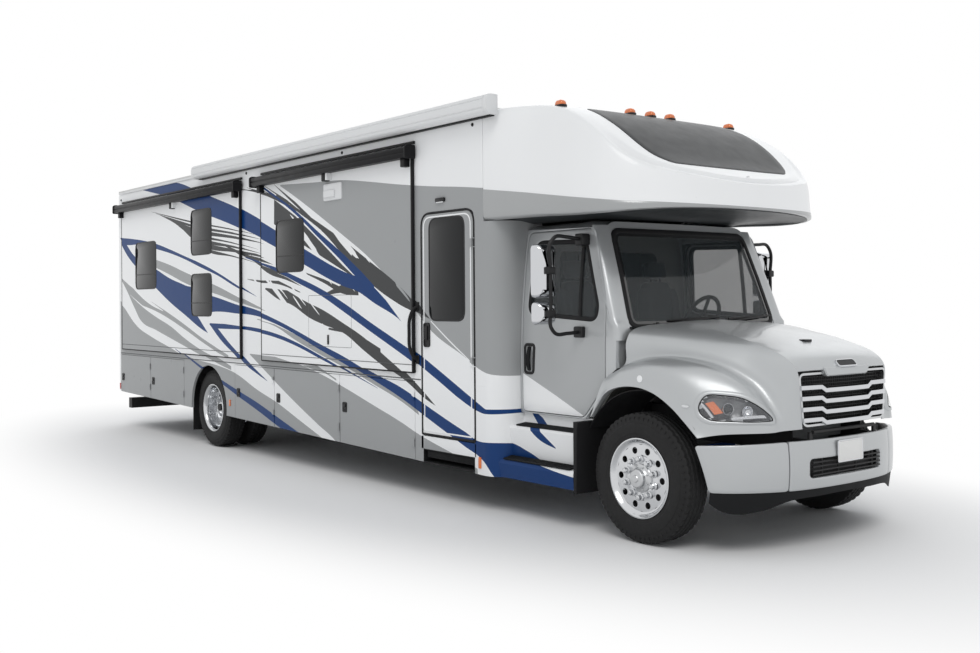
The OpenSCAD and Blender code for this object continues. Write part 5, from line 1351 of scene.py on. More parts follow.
def badge_face(flat):
    """Slanted plane over the grille: a runs across the vehicle and b up the slope."""
    return BADGE_AT + flat[..., :1] * np.array([0.0, 1.0, 0.0]) + flat[..., 1:] * BADGE_UP


oval = rectangle(-0.118, -0.033, 0.118, 0.033, 0.0325, 9)
make("bonnet_badge", panel(oval, inset(oval, 0.008), badge_face, 0.016, 3, rim=0.003, raised=0.014), CHROME, "hood")
make("bonnet_badge_blank", pane(inset(oval, 0.006), badge_face, 0.014, 4, raised=0.010), BLACK, "hood")

# %% [markdown]
# ## Front bumper
#
# The bumper is a pressed sheet in three panels. In plan it follows one curve, and the sheet's own coordinates are
# the distance u along that curve and the height z. Each panel is then drawn flat, with its rounded border and
# the air intake as a hole, and wrapped round the curve.

# %% Bumper plan
BUMPER_PLAN = [(1.022, 0.0), (1.010, 0.30), (0.960, 0.60), (0.868, 0.82), (0.722, 1.02), (0.539, 1.150)]
half_plan = spline(BUMPER_PLAN, 60)
full_plan = np.vstack([half_plan[::-1] * [1, -1], half_plan[1:]])
along_plan = np.concatenate([[0], np.cumsum(np.linalg.norm(np.diff(full_plan, axis=0), axis=1))])
along_plan -= along_plan[-1] / 2
BUMPER_END = along_plan[-1]
SEAM = float(np.interp(0.62, full_plan[:, 1], along_plan))


def bumper_face(flat):
    """x and y come from the plan curve at distance u; the face leans back a little towards its top and bottom."""
    u, z = flat[..., 0], flat[..., 1]
    x = np.interp(u, along_plan, full_plan[:, 0])
    y = np.interp(u, along_plan, full_plan[:, 1])
    lean = 0.35 * (z - 0.62) ** 2
    return np.stack([x - 0.014 - lean, y, z], -1)


def bumper_outline(u0, u1, radius, steps=7, slant=0.0):
    """Border of one panel: its top edge rises 25 mm towards the middle of the vehicle."""
    u = np.linspace(u0, u1, 15)
    top = 0.808 - 0.028 * (u / BUMPER_END) ** 2
    line = rounded_outline([(u0, 0.448), (u1 - slant, 0.448), (u1, top[-1]), (u0, top[0])], radius, steps)
    high = line[:, 1] > 0.7
    line[high, 1] += (0.808 - 0.028 * (line[high, 0] / BUMPER_END) ** 2) - np.interp(line[high, 0], [u0, u1], [top[0], top[-1]])
    return line


def dense(outline, longest=0.04):
    """Outline with extra points on its straight runs, so that it can bend with a surface."""
    o = np.vstack([outline, outline[:1]])
    parts = []
    for a, b in zip(o[:-1], o[1:]):
        n = max(1, int(np.ceil(np.linalg.norm(b - a) / longest)))
        parts.append(a + (b - a) * np.linspace(0, 1, n, endpoint=False)[:, None])
    return np.vstack(parts)


intake = rectangle(-0.44, 0.530, 0.44, 0.665, 0.035, 8)
middle, hole = matched(dense(bumper_outline(-SEAM, SEAM, 0.012)), intake, 160)
corner = dense(bumper_outline(SEAM + 0.004, BUMPER_END, 0.030, slant=0.10))
centre_panel = panel(middle, hole, bumper_face, 0.030, 9, rim=0.010)
corner_panel = pane(corner, bumper_face, 0.030, 9, rim=0.010)
make("front_bumper_skin", [centre_panel, both(corner_panel)], SILVER, "chassis", replaces="front_bumper")
slat_rows = [rod((0.985, -0.42, z), (0.985, 0.42, z), 0.007, 8) for z in (0.55, 0.58, 0.61, 0.64)]
slat_posts = [rod((0.975, y, 0.53), (0.975, y, 0.67), 0.008, 8) for y in (-0.30, -0.1, 0.12, 0.33)]
intake_back = block((0.905, -0.50, 0.50), (0.915, 0.50, 0.70), 0.003)
make("bumper_intake", slat_rows + slat_posts + [intake_back], BLACK, "chassis")
beam = ribbon(np.column_stack([full_plan[8:-8] - [0.075, 0], np.full(len(full_plan) - 16, 0.73)]), 0.11, 0.06)
brackets = [block((0.55, s * 0.33, 0.60), (0.94, s * 0.41, 0.72), 0.008) for s in (-1, 1)]
make("bumper_beam", [beam] + brackets, CHASSIS, "chassis")


def dam_face(flat):
    """The same plan, 25 mm further back and leaning back towards the bottom."""
    p = bumper_face(np.stack([flat[..., 0], np.full_like(flat[..., 0], 0.62)], -1))
    p[..., 0] -= 0.018 + 0.16 * (0.46 - flat[..., 1])
    p[..., 2] = flat[..., 1]
    return p


low_line = [(-1.20, 0.375), (-1.12, 0.325), (-0.80, 0.322), (-0.62, 0.375), (-0.30, 0.392), (0.30, 0.392), (0.62, 0.375), (0.80, 0.322),
            (1.12, 0.325), (1.20, 0.375)]
bottom = spline(low_line, 60)
rows = np.stack([np.column_stack([bottom[:, 0], bottom[:, 1] + (0.452 - bottom[:, 1]) * k]) for k in np.linspace(0, 1, 7)])
make("bumper_dam", shell(dam_face(rows), 0.006, (1, 0, 0)), PLASTIC, "chassis")
sign = rectangle(-0.152, 0.625, 0.152, 0.775, 0.012, 5)
make("front_sign_plate", [plate(sign, "x", 1.012, 1.017, 0.001)], BLANK, "chassis")
make("front_sign_frame", [ring(rectangle(-0.158, 0.619, 0.158, 0.781, 0.014, 5), 0.010, "x", 1.010, 1.019)], CHROME, "chassis")

# %% [markdown]
# ## Cab
#
# The cab narrows towards its roof. One curve gives the half width at each height, and every side panel is drawn
# flat in (x, z) and laid on that curve. The windscreen leans back and bows forward, so its own surface is drawn
# in (y, z). Between the two, a rounded pillar joins matching edges.

# %% Cab surfaces
CAB_REAR, CAB_TOP = -1.4947, 2.455
WIDTH_AT = [(0.80, 1.055), (1.20, 1.060), (1.50, 1.057), (1.75, 1.045), (2.10, 1.010), (2.40, 0.968), (2.50, 0.950)]
width_z, width_y = spline(WIDTH_AT, 80).T


def cab_side(flat):
    """Right side of the cab: y is minus the half width at height z."""
    return np.stack([flat[..., 0], -np.interp(flat[..., 1], width_z, width_y), flat[..., 1]], -1)


def screen(flat):
    """Windscreen: x leans back with height, and bows 40 mm forward at the middle of its width."""
    y, z = flat[..., 0], flat[..., 1]
    lean = np.interp(z, [1.55, 1.62, 2.00, 2.40, 2.46], [-0.335, -0.352, -0.485, -0.640, -0.665])
    return np.stack([lean + 0.038 * (1 - (y / 0.93) ** 2), y, z], -1)


DOOR = [(-1.462, 0.880), (-0.712, 0.880), (-0.478, 1.142), (-0.464, 1.20), (-0.464, 1.80), (-0.655, 2.392), (-1.462, 2.392)]
WINDOW = [(-1.385, 1.715), (-0.585, 1.665), (-0.560, 1.765), (-0.745, 2.285), (-1.345, 2.300)]
door_line = dense(rounded_outline(DOOR, [0.04, 0.05, 0.05, 0.03, 0.10, 0.07, 0.06], 6), 0.05)
window_line = dense(rounded_outline(WINDOW, [0.08, 0.07, 0.05, 0.07, 0.08], 7), 0.05)
side_line = dense(rounded_outline([(CAB_REAR, 0.862), (-0.70, 0.862), (-0.452, 1.125), (-0.345, 1.14), (-0.345, 1.60), (-0.415, 1.66), (-0.695, 2.405),
                                   (CAB_REAR, 2.425)], 0.02, 4), 0.05)

# %% Doors and sides
door_out, door_in = matched(door_line, inset(window_line, -0.024), 170)
side_out, side_in = matched(side_line, inset(door_line, -0.006), 170)
for side_name, s in SIDES.items():
    def here(part):
        return part if s < 0 else mirrored(part)
    body = "cab_door_" + side_name
    make("cab_door_skin_" + side_name, here(panel(door_out, door_in, cab_side, 0.040, 10, rim=0.006)), CAB_DOOR, body,
         replaces="cab_door_" + side_name)
    seal = panel(*matched(inset(window_line, -0.026), inset(window_line, 0.010), 170), cab_side, 0.030, 3, rim=0.005, raised=-0.003)
    bar = pane(dense(rounded_outline([(-0.782, 1.67), (-0.752, 1.67), (-0.762, 2.30), (-0.792, 2.30)], 0.004, 3)), cab_side, 0.02, 4, rim=0.003, raised=-0.004)
    make("cab_door_seals_" + side_name, [here(seal), here(bar)], RUBBER, body)
    make("cab_door_pane_" + side_name, here(pane(inset(window_line, 0.004), cab_side, 0.006, 8, raised=-0.014)), CLEAR, body,
         replaces="cab_door_%s_glass" % side_name)
    cup = dense(rounded_outline([(-1.440, 1.190), (-1.310, 1.190), (-1.295, 1.455), (-1.440, 1.455)], 0.045, 7), 0.03)
    make("cab_door_cup_" + side_name, [here(panel(cup, inset(cup, 0.026), cab_side, 0.016, 4, rim=0.006, raised=0.008)),
         here(pane(inset(cup, 0.022), cab_side, 0.010, 4, raised=-0.004))], BLACK, body)
    lever = [(-1.372, 0, 1.225), (-1.366, 0, 1.28), (-1.364, 0, 1.36), (-1.370, 0, 1.425)]
    path = spline([cab_side(np.array([x, z])) + [0, -d, 0] for (x, _, z), d in zip(lever, (0.004, 0.020, 0.020, 0.004))], 20)
    make("cab_door_pull_" + side_name, here(ribbon(path, 0.036, 0.016, (1, 0, 0))), PLASTIC, body)
    trim = dense(inset(door_line, 0.05))
    inner_trim = matched(trim, inset(window_line, -0.03), 120)
    make("cab_door_trim_" + side_name, here(panel(*inner_trim, lambda f: cab_side(f) + [0, 0.060, 0], 0.016, 8)), PLASTIC, body)

side_frame = panel(side_out, side_in, cab_side, 0.040, 4, rim=0.006)

# %% Windscreen, pillars and roof
SCREEN = [(-0.892, 1.600), (0.892, 1.600), (0.818, 2.380), (-0.818, 2.380)]
screen_line = dense(rounded_outline(SCREEN, [0.10, 0.10, 0.09, 0.09], 9), 0.06)
glass_line = inset(screen_line, 0.004)
clear_line = inset(screen_line, 0.045)
make("windscreen", pane(glass_line, screen, 0.007, 12, raised=-0.004), CLEAR, "chassis")
make("windscreen_border", panel(glass_line, clear_line, screen, 0.0015, 3, raised=-0.0021), FRIT, "chassis")
make("windscreen_seal", panel(inset(screen_line, -0.020), inset(screen_line, 0.022), screen, 0.020, 3, rim=0.007, raised=0.005), RUBBER, "chassis")


def pillar(samples=40, across=12):
    """Strip from the side's front edge to the windscreen's side edge: at each height a smooth turn whose ends
    leave along the two surfaces."""
    z = np.linspace(1.50, 2.42, samples)
    x_side = np.interp(z, [1.50, 1.62, 1.66, 2.40, 2.42], [-0.360, -0.372, -0.412, -0.690, -0.70])
    y_screen = np.interp(z, [1.50, 1.60, 2.38, 2.42], [0.912, 0.904, 0.834, 0.818])
    start = cab_side(np.stack([x_side, z], -1))
    end = screen(np.stack([-y_screen, z], -1))
    start_dir = cab_side(np.stack([x_side + 0.1, z], -1)) - start
    end_dir = end - screen(np.stack([-y_screen + 0.1, z], -1))
    bend = 0.45 * np.linalg.norm(end - start, axis=1)[:, None]
    a, b = start + bend * start_dir / 0.1, end + bend * end_dir / 0.1
    t = np.linspace(0, 1, across)[None, :, None]
    s0, e0, a0, b0 = (q[:, None] for q in (start, end, a, b))
    return (1 - t) ** 3 * s0 + 3 * (1 - t) ** 2 * t * a0 + 3 * (1 - t) * t ** 2 * b0 + t ** 3 * e0


def cab_roof(samples=26, across=41):
    """Header and roof: rows from the windscreen's top edge over to the back, each row a flat arch whose ends
    turn down to the sides."""
    line = spline([(-0.632, 2.372), (-0.668, 2.425), (-0.74, 2.462), (-0.95, 2.470), (CAB_REAR, 2.470)], samples)
    k = np.linspace(-1, 1, across)
    half = np.interp(line[:, 1], width_z, width_y)[:, None] * np.ones(across)
    y = k[None] * half
    fall = 0.055 * np.clip((np.abs(k) - 0.86) / 0.14, 0, 1) ** 2 + 0.012 * k ** 2
    bow = 0.038 * (1 - (y / 0.93) ** 2) * np.clip(1 - (np.arange(samples) / 7.0), 0, 1)[:, None]
    return np.stack([line[:, :1] + bow, y, line[:, 1:] - fall[None]], -1)


lower_front = shell(np.stack([np.stack([np.full(9, -0.352), np.linspace(-1.04, 1.04, 9), np.full(9, z)], 1) for z in np.linspace(1.13, 1.61, 5)]),
                    0.02, (1, 0, 0))
screen_back = panel(*matched(inset(screen_line, -0.075), inset(screen_line, -0.004), 150), screen, 0.035, 4, raised=-0.006)
make("cab_shell_skin", [both(side_frame), both(shell(pillar(), 0.025, (0.5, -1, 0))), shell(cab_roof(), 0.03, (0, 0, 1)), lower_front, screen_back],
     SILVER, "chassis", replaces="cab_shell", sharp=40)
floor_pan = block((CAB_REAR, -1.0, 0.90), (-0.62, 1.0, 0.94), 0.01)
toe_board = shell(np.stack([np.stack([np.full(9, x), np.linspace(-0.99, 0.99, 9), np.full(9, z)], 1)
                            for x, z in ((-0.62, 0.93), (-0.42, 1.16), (-0.40, 1.50))]), 0.015, (-1, 0, 0))
back_frame = panel(*matched(dense(rounded_outline([(-1.02, 0.90), (1.02, 0.90), (0.96, 2.43), (-0.96, 2.43)], 0.06, 6)),
                            dense(rounded_outline([(-0.62, 0.96), (0.62, 0.96), (0.62, 2.25), (-0.62, 2.25)], 0.08, 6)), 120),
                   lambda f: np.stack([np.full_like(f[..., 0], -1.470), f[..., 0], f[..., 1]], -1), 0.02, 5)
headliner = shell(cab_roof()[8:, 3:-3] - [0, 0, 0.045], 0.008, (0, 0, -1))
make("cab_lining", [floor_pan, toe_board, back_frame, headliner], PANELLING, "chassis")

# %% Cowl and wipers
cowl = np.stack([np.stack([x + 0.03 * (1 - k ** 2), k * 0.90, z + 0 * k], 1) for k in [np.linspace(-1, 1, 21)]
                 for x, z in ((-0.300, 1.585), (-0.318, 1.598), (-0.350, 1.600), (-0.362, 1.622))])
make("cowl_panel", shell(cowl, 0.008, (0, 0, 1)), PLASTIC, "chassis")


def wiper(pivot_y, reach, tip_z):
    """Arm and blade that rest on the lower edge of the glass."""
    base = screen(np.array([pivot_y, 1.612])) + [0.016, 0, 0.0]
    tip = screen(np.array([pivot_y + reach, tip_z])) + [0.022, 0, 0.0]
    arm = ribbon(np.linspace(base, tip, 9) + np.sin(np.linspace(0, np.pi, 9))[:, None] * [0.012, 0, 0.004], 0.014, 0.007)
    mid = pivot_y + reach * 0.72
    blade_y = np.linspace(mid - 0.30, mid + 0.30, 15)
    blade = screen(np.stack([blade_y, 1.655 + 0.030 * (blade_y - mid) * np.sign(reach)], -1)) + [0.014, 0, 0.004]
    return [arm, ribbon(blade, 0.016, 0.009), lathe([(0.0001, 0.025), (0.012, 0.022), (0.017, 0.008), (0.019, -0.02), (0.0001, -0.02)], base - [0, 0, 0.0], "z", 20)]


make("wipers", wiper(-0.62, 0.62, 1.66) + wiper(0.10, 0.62, 1.66), BLACK, "chassis")
make("bonnet_catches", both(join([ribbon(spline([(-0.375, -1.072, 1.205), (-0.34, -1.078, 1.25), (-0.295, -1.070, 1.285)], 12), 0.035, 0.014, (0, -1, 0)),
                                  block((-0.40, -1.085, 1.185), (-0.365, -1.062, 1.222), 0.006)])), RUBBER, "chassis")

# %% [markdown]
# ## Mirrors
#
# Each mirror pair hangs on a black tube loop that stands off the door. The heads are shells with bright backs:
# a rounded outline that swells and shrinks along x, so the back is domed and the glass side is flat.

# %% Mirrors
def mirror_head(y0, z0, y1, z1, x_front, x_back, radius):
    """Domed back towards the front of the vehicle, and an open rim round the glass behind."""
    o = rectangle(y0, z0, y1, z1, radius, 8)
    depth = x_front - x_back
    steps = [(0.30, 0.0), (0.16, 0.10), (0.07, 0.26), (0.02, 0.5), (0.0, 0.75), (0.0, 1.0)]
    w = y1 - y0
    return moulding(o, "x", [(w * k, x_front - depth * d) for k, d in steps] + [(0.006, x_back), (0.010, x_back + 0.008)])


for side_name, s in SIDES.items():
    def here(part):
        return part if s < 0 else mirrored(part)
    body = "cab_door_" + side_name
    loop = spline([(-0.74, -1.055, 2.305), (-0.74, -1.20, 2.318), (-0.74, -1.33, 2.312), (-0.74, -1.372, 2.268), (-0.74, -1.374, 2.05),
                   (-0.74, -1.374, 1.75), (-0.74, -1.372, 1.60), (-0.74, -1.33, 1.556), (-0.74, -1.20, 1.552), (-0.74, -1.070, 1.560)], 90)
    feet = [block((-0.785, -1.075, 2.255), (-0.695, -0.985, 2.350), 0.012), block((-0.79, -1.095, 1.515), (-0.69, -1.040, 1.605), 0.012)]
    clamps = [block((-0.775, -1.41, z - 0.03), (-0.72, -1.335, z + 0.03), 0.01) for z in (2.05, 1.71)]
    make("mirror_arm_" + side_name, [here(tube(loop, 0.015, 14))] + [here(q) for q in feet + clamps], BLACK, body,
         replaces="mirror_" + side_name)
    heads = [mirror_head(-1.478, 1.835, -1.262, 2.258, -0.765, -0.858, 0.05), mirror_head(-1.474, 1.625, -1.266, 1.805, -0.765, -0.858, 0.05)]
    make("mirror_backs_" + side_name, [here(q) for q in heads], CHROME, body)
    glass = [plate(rectangle(-1.468, 1.845, -1.272, 2.248, 0.045, 8), "x", -0.862, -0.850, 0.001),
             plate(rectangle(-1.464, 1.634, -1.276, 1.796, 0.045, 8), "x", -0.862, -0.850, 0.001)]
    make("mirror_glass_" + side_name, [here(q) for q in glass], GLASS_DARK, body)

# %% [markdown]
# ## The nose over the cab
#
# The sleeping space over the cab is one smooth moulding. A plan curve runs from the side wall round to the front,
# and a rib stands at each of its points: up from the lower edge, over a soft shoulder, and then along the
# sloping top to the middle line. The slope's height depends on x alone but for a slight fall to the sides.

# %% Nose curves
PLAN = [(-1.705, 1.2825), (-1.30, 1.2825), (-0.85, 1.2825), (-0.52, 1.272), (-0.30, 1.225), (-0.14, 1.120), (-0.01, 0.955), (0.075, 0.740),
        (0.130, 0.480), (0.157, 0.230), (0.165, 0.0)]
SLOPE = [(-1.80, 3.478), (-1.55, 3.478), (-1.30, 3.468), (-1.10, 3.448), (-0.96, 3.420), (-0.75, 3.350), (-0.55, 3.245), (-0.40, 3.140), (-0.28, 3.042),
         (-0.15, 2.935), (-0.05, 2.868), (0.05, 2.812), (0.12, 2.775), (0.17, 2.742)]
slope_x, slope_z = spline(SLOPE, 200).T
LOWER_EDGE = [(-1.75, 2.541), (-1.0, 2.520), (-0.45, 2.497), (-0.14, 2.500), (0.17, 2.528)]


def slope(flat):
    """Top of the nose over a point (x, y)."""
    x, y = flat[..., 0], flat[..., 1]
    return np.stack([x, y, np.interp(x, slope_x, slope_z) - 0.020 * (np.abs(y) / 1.2) ** 4], -1)


def nose_half(stations=90, inner=26):
    """Right half from the lower edge to the middle line: stations go round the plan, rows go up the rib."""
    plan = spline(PLAN, stations)
    run = np.linspace(0, 1, stations)
    d = np.gradient(plan, axis=0)
    d /= np.linalg.norm(d, axis=1, keepdims=True)
    out = np.stack([-d[:, 1], d[:, 0]], 1)
    crest = np.interp(plan[:, 0], slope_x, slope_z)
    away = np.clip((plan[:, 0] + 1.72) / 0.62, 0, 1)
    lean = 0.145 * np.clip((crest - 2.75) / 0.68, 0, 1) * away ** 2 * (3 - 2 * away)
    low = spline(LOWER_EDGE, plan[:, 0], [p[0] for p in LOWER_EDGE])[:, 1]
    edge = plan + out * -lean[:, None]
    top = slope(edge)[:, 2]
    rows = []
    belly = 0.018 * np.sin(np.pi * np.clip((run - 0.30) / 0.7, 0, 1)) ** 2
    for k, push in ((0.0, 1.0), (0.12, 0.9), (0.25, 0.5), (0.40, 0.3), (0.55, 0.2), (0.70, 0.1), (0.82, 0.0), (0.92, 0.0)):
        z = low + (top - low) * k
        in_by = lean * np.clip((z - 2.72) / np.maximum(top - 2.72, 0.02), 0, 1) ** 1.3
        flat = plan - out * (in_by - belly * push)[:, None]
        rows.append(np.column_stack([flat * [1, -1], z]))
    round_off = np.minimum(0.05, 0.35 * (top - low))
    for a in np.radians([15, 40, 65, 90]):
        flat = edge - out * 0.055 * (1 - np.cos(a))
        rows.append(np.column_stack([flat * [1, -1], top - round_off * 0.6 * (1 - np.sin(a))]))
    start = edge - out * 0.055
    goal = np.column_stack([np.interp(run, [0, 0.45, 1.0], [-1.705, -0.75, 0.10]), np.zeros(stations)])
    goal[:, 0] = np.minimum(goal[:, 0], start[:, 0])
    for k in np.linspace(0, 1, inner)[1:]:
        p = slope((1 - k) * start + k * goal)
        rows.append(p * [1, -1, 1])
    return np.stack(rows, 1)


NOSE = nose_half()
print("nose grid", NOSE.shape)

# %% White cap, silver fascia and dark slope panel
make("nose_cap", both(shell(NOSE, 0.02, (0, -1, 0.3))), GELCOAT, "chassis", replaces="overcab", sharp=50)


def fascia(stations=90):
    """Silver band under the white cap, on the same plan and 4 mm proud, that narrows to nothing at the front."""
    plan = spline(PLAN, stations)
    d = np.gradient(plan, axis=0)
    d /= np.linalg.norm(d, axis=1, keepdims=True)
    out = np.stack([-d[:, 1], d[:, 0]], 1)
    run = np.linspace(0, 1, stations)
    belly = 0.018 * np.sin(np.pi * np.clip((run - 0.30) / 0.7, 0, 1)) ** 2
    low = spline(LOWER_EDGE, plan[:, 0], [p[0] for p in LOWER_EDGE])[:, 1]
    high = np.interp(plan[:, 0], [-1.71, -1.16, -0.635, -0.16, 0.17], [2.775, 2.703, 2.629, 2.567, 2.546])
    rows = []
    for k, push in ((-0.15, -0.045), (-0.1, -0.012), (0.0, 0.0), (0.25, 0.004), (0.6, 0.004), (0.93, 0.004), (1.0, 0.0), (1.0, -0.01)):
        flat = plan + out * (push + belly * (1 - 0.3 * k))[:, None]
        rows.append(np.column_stack([flat * [1, -1], low + (high - low) * k]))
    return np.stack(rows, 1)


make("nose_fascia", both(shell(fascia(), 0.012, (0, -1, 0))), COLUMN, "chassis", sharp=50)


def soffit(stations=60, rows=16):
    """Underside: from the plan's lower edge in to a line over the cab, hollowed upwards in the middle."""
    plan = spline(PLAN, stations)
    low = spline(LOWER_EDGE, plan[:, 0], [p[0] for p in LOWER_EDGE])[:, 1]
    run = np.linspace(0, 1, stations)
    goal_x = np.interp(run, [0, 0.35, 1], [-1.705, -0.80, -0.62])
    goal = np.column_stack([goal_x, np.interp(run, [0, 0.5, 1], [0.90, 0.86, 0.0])])
    out = []
    for k in np.linspace(0.02, 1, rows):
        p = (1 - k) * plan + k * goal
        z = (low - 0.012) * (1 - k) + 2.476 * k + 0.035 * np.sin(np.pi * k) * np.clip(run * 2.2, 0, 1)
        out.append(np.column_stack([p * [1, -1], z]))
    return np.stack(out, 1)


# The underside takes the dark slate finish: painted shade under the overhang, where the real panel is silver.
make("nose_soffit", both(shell(soffit(), 0.012, (0, 0, -1))), SHADED_SOFFIT, "chassis", sharp=50)
DARK_PANEL = [(-0.875, -0.86), (-0.875, 0.86), (-0.60, 0.90), (-0.30, 0.88), (-0.15, 0.82), (-0.055, 0.70), (-0.045, 0.40), (-0.045, -0.40),
              (-0.055, -0.70), (-0.15, -0.82), (-0.30, -0.88), (-0.60, -0.90)]
dark_line = dense(rounded_outline(DARK_PANEL, [0.05, 0.05, 0.12, 0.12, 0.07, 0.05, 0.1, 0.1, 0.05, 0.07, 0.12, 0.12], 7), 0.06)
make("nose_slope_panel", pane(dark_line, slope, 0.012, 16, rim=0.004, raised=0.004), SLOPE_GREY, "chassis", sharp=50)

# %% Roof marker lamps
def marker_lamp(x, y):
    """Teardrop lens on a small foot: rounded outlines that shrink with height."""
    base = slope(np.array([x, y]))[2] - 0.012
    o = rounded_outline([(x - 0.055, y - 0.028), (x + 0.050, y - 0.036), (x + 0.050, y + 0.036), (x - 0.055, y + 0.028)], 0.030, 6)
    foot = moulding(o, "z", [(-0.005, base), (-0.005, base + 0.016), (0.0, base + 0.020)])
    rings = []
    for size, h in ((0.96, 0.016), (0.98, 0.024), (0.92, 0.040), (0.74, 0.053), (0.42, 0.060), (0.06, 0.062)):
        q = [x - 0.004, y] + (o - [x - 0.004, y]) * size
        rings.append(np.column_stack([q, np.full(len(q), base + h)]))
    return foot, capped(np.stack(rings))


lamps = [marker_lamp(-0.960, y) for y in (-1.055, -0.250, 0.0, 0.250, 1.055)]
make("roof_marker_feet", [q[0] for q in lamps], BLACK, "chassis")
make("roof_marker_lenses", [q[1] for q in lamps], AMBER, "chassis")

# %% [markdown]
# ## Windows of the coach
#
# Each window is a dark pane with round corners in a thin black frame. The frame's section and the pane are laid
# on the flat wall by the same two functions as the cab's panels.

# %% Windows
def side_at(distance):
    """Flat surface at a distance to the right of the middle, as a function of (x, z)."""
    return lambda flat: np.stack([flat[..., 0], np.full_like(flat[..., 0], -distance), flat[..., 1]], -1)


def window(x0, z0, x1, z1, distance, radius=0.105):
    """Pane and frame of one window whose wall lies at a distance from the middle."""
    o = rectangle(x0, z0, x1, z1, radius, 12)
    pane_part = plate(inset(o, 0.003), "y", -distance + 0.001, -distance + 0.010, 0.002)
    frame_part = panel(inset(o, -0.004), inset(o, 0.008), side_at(distance), 0.012, 3, rim=0.002, raised=0.002)
    bar = block((x0 + 0.012, -distance + 0.004, z0 + 0.30 * (z1 - z0)), (x1 - 0.012, -distance - 0.001, z0 + 0.30 * (z1 - z0) + 0.014), 0.002)
    return pane_part, [frame_part, bar]


SLIDE_FACE = 1.3135
SLIDES = {"slideout_right_rear": (-10.31, -6.38, -1), "slideout_right_front": (-5.83, -2.75, -1), "slideout_left": (-6.23, -2.26, 1)}
SLIDE_WINDOWS = {"slideout_right_rear": [(-9.76, 2.02, -8.98, 2.68), (-7.81, 2.43, -7.17, 3.01), (-7.81, 1.65, -7.17, 2.19)],
                 "slideout_right_front": [(-5.46, 2.15, -4.81, 2.73)],
                 "slideout_left": [(-5.83, 1.95, -4.73, 2.65), (-3.93, 1.95, -3.13, 2.65)]}
for body, openings in SLIDE_WINDOWS.items():
    flip = mirrored if SLIDES[body][2] > 0 else (lambda part: part)
    found = [window(*o, SLIDE_FACE) for o in openings]
    make(body + "_panes", [flip(q[0]) for q in found], GLASS_DARK, body, replaces=body + "_glass")
    make(body + "_window_frames", [flip(r) for q in found for r in q[1]], BLACK, body)

wall_windows = [window(*o, HALF_W) for o in ((-9.80, 2.02, -9.05, 2.68), (-7.68, 2.35, -7.13, 2.80), (-6.93, 2.25, -6.43, 2.90))]
rear_o = rectangle(-0.45, 2.20, 0.45, 2.65, 0.060, 8)
rear_pane = plate(inset(rear_o, 0.003), "x", REAR_X + 0.004, REAR_X + 0.011, 0.002)
rear_frame = panel(rear_o, inset(rear_o, 0.016), lambda f: np.stack([np.full_like(f[..., 0], REAR_X), -f[..., 0], f[..., 1]], -1), 0.012, 3, rim=0.003,
                   raised=0.004)
make("wall_panes", [mirrored(q[0]) for q in wall_windows] + [rear_pane], GLASS_DARK, "chassis", replaces="fixed_glass")
make("wall_window_frames", [mirrored(r) for q in wall_windows for r in q[1]] + [rear_frame], BLACK, "chassis")

# %% [markdown]
# ## Slide-out trim and awnings
#
# A black seal runs down each slide-out's front edge. Over each slide-out lies a roller case: one outline in
# (y, z), carried along x, with grooves drawn into the outline. The big awning is made in the same way.

# %% Seals, cases and brackets
CASE = [(-1.318, 3.152), (-1.405, 3.150), (-1.413, 3.162), (-1.413, 3.190), (-1.407, 3.194), (-1.407, 3.202), (-1.413, 3.206), (-1.413, 3.238),
        (-1.398, 3.254), (-1.345, 3.262), (-1.338, 3.254), (-1.330, 3.262), (-1.304, 3.262), (-1.304, 3.240), (-1.318, 3.236)]
for body, (s0, s1, s) in SLIDES.items():
    flip = mirrored if s > 0 else (lambda part: part)
    case = plate(rounded_outline(CASE, 0.004, 3), "x", s0 - 0.060, s1 + 0.030, 0.003)
    end_line = rounded_outline([(-1.300, 3.140), (-1.419, 3.140), (-1.419, 3.252), (-1.390, 3.270), (-1.300, 3.270)], [0.01, 0.02, 0.02, 0.02, 0.01], 5)
    ends = [plate(end_line, "x", a, b, 0.004) for a, b in ((s0 - 0.085, s0 - 0.058), (s1 + 0.028, s1 + 0.048))]
    hangers = [block((m - 0.038, -1.373, 3.072), (m + 0.038, -1.2965, 3.165), 0.008) for m in (s0 + 0.055, (s0 + s1) / 2, s1 - 0.065)]
    make(body + "_roller_case", [flip(q) for q in [case] + ends + hangers], AWNING_BLACK, body)
    seals = [block((s1 - 0.014, -1.3175, 1.150), (s1 + 0.010, -1.2875, 3.150), 0.004),
             block((s0 - 0.006, -1.3165, 1.150), (s0 + 0.010, -1.2875, 3.150), 0.003),
             block((s0, -1.3170, 1.146), (s1, -1.2890, 1.160), 0.003)]
    make(body + "_seals", [flip(q) for q in seals], RUBBER, body)
    rails = [block((s0 - 0.02, -1.303, 3.285), (s1 + 0.02, -1.280, 3.312), 0.004)]
    make(body + "_wall_rail", [flip(q) for q in rails], AWNING_BLACK, "chassis")
    line = block((s0 + 0.012, -1.3165, 1.222), (s1 - 0.016, -1.3100, 1.229), 0.002)
    make(body + "_line", [flip(line)], JOINT_LINE, body)

AWNING = [(-1.284, 3.394), (-1.330, 3.391), (-1.385, 3.396), (-1.409, 3.412), (-1.418, 3.432), (-1.411, 3.437), (-1.411, 3.444), (-1.4205, 3.449),
          (-1.4215, 3.505), (-1.413, 3.510), (-1.413, 3.517), (-1.4195, 3.522), (-1.408, 3.541), (-1.385, 3.553), (-1.340, 3.558), (-1.284, 3.558)]
awning_ends = [plate(inset(rounded_outline([(-1.284, 3.388), (-1.385, 3.388), (-1.4225, 3.43), (-1.4225, 3.52), (-1.385, 3.560), (-1.284, 3.560)],
                                           [0.01, 0.03, 0.03, 0.03, 0.03, 0.01], 6), 0.0005), "x", a, b, 0.008) for a, b in ((-7.548, -7.500), (-1.540, -1.492))]
make("awning_case", [plate(rounded_outline(AWNING, 0.003, 3), "x", -7.502, -1.538, 0.001)] + awning_ends, MOULDED, "chassis", replaces="awning")
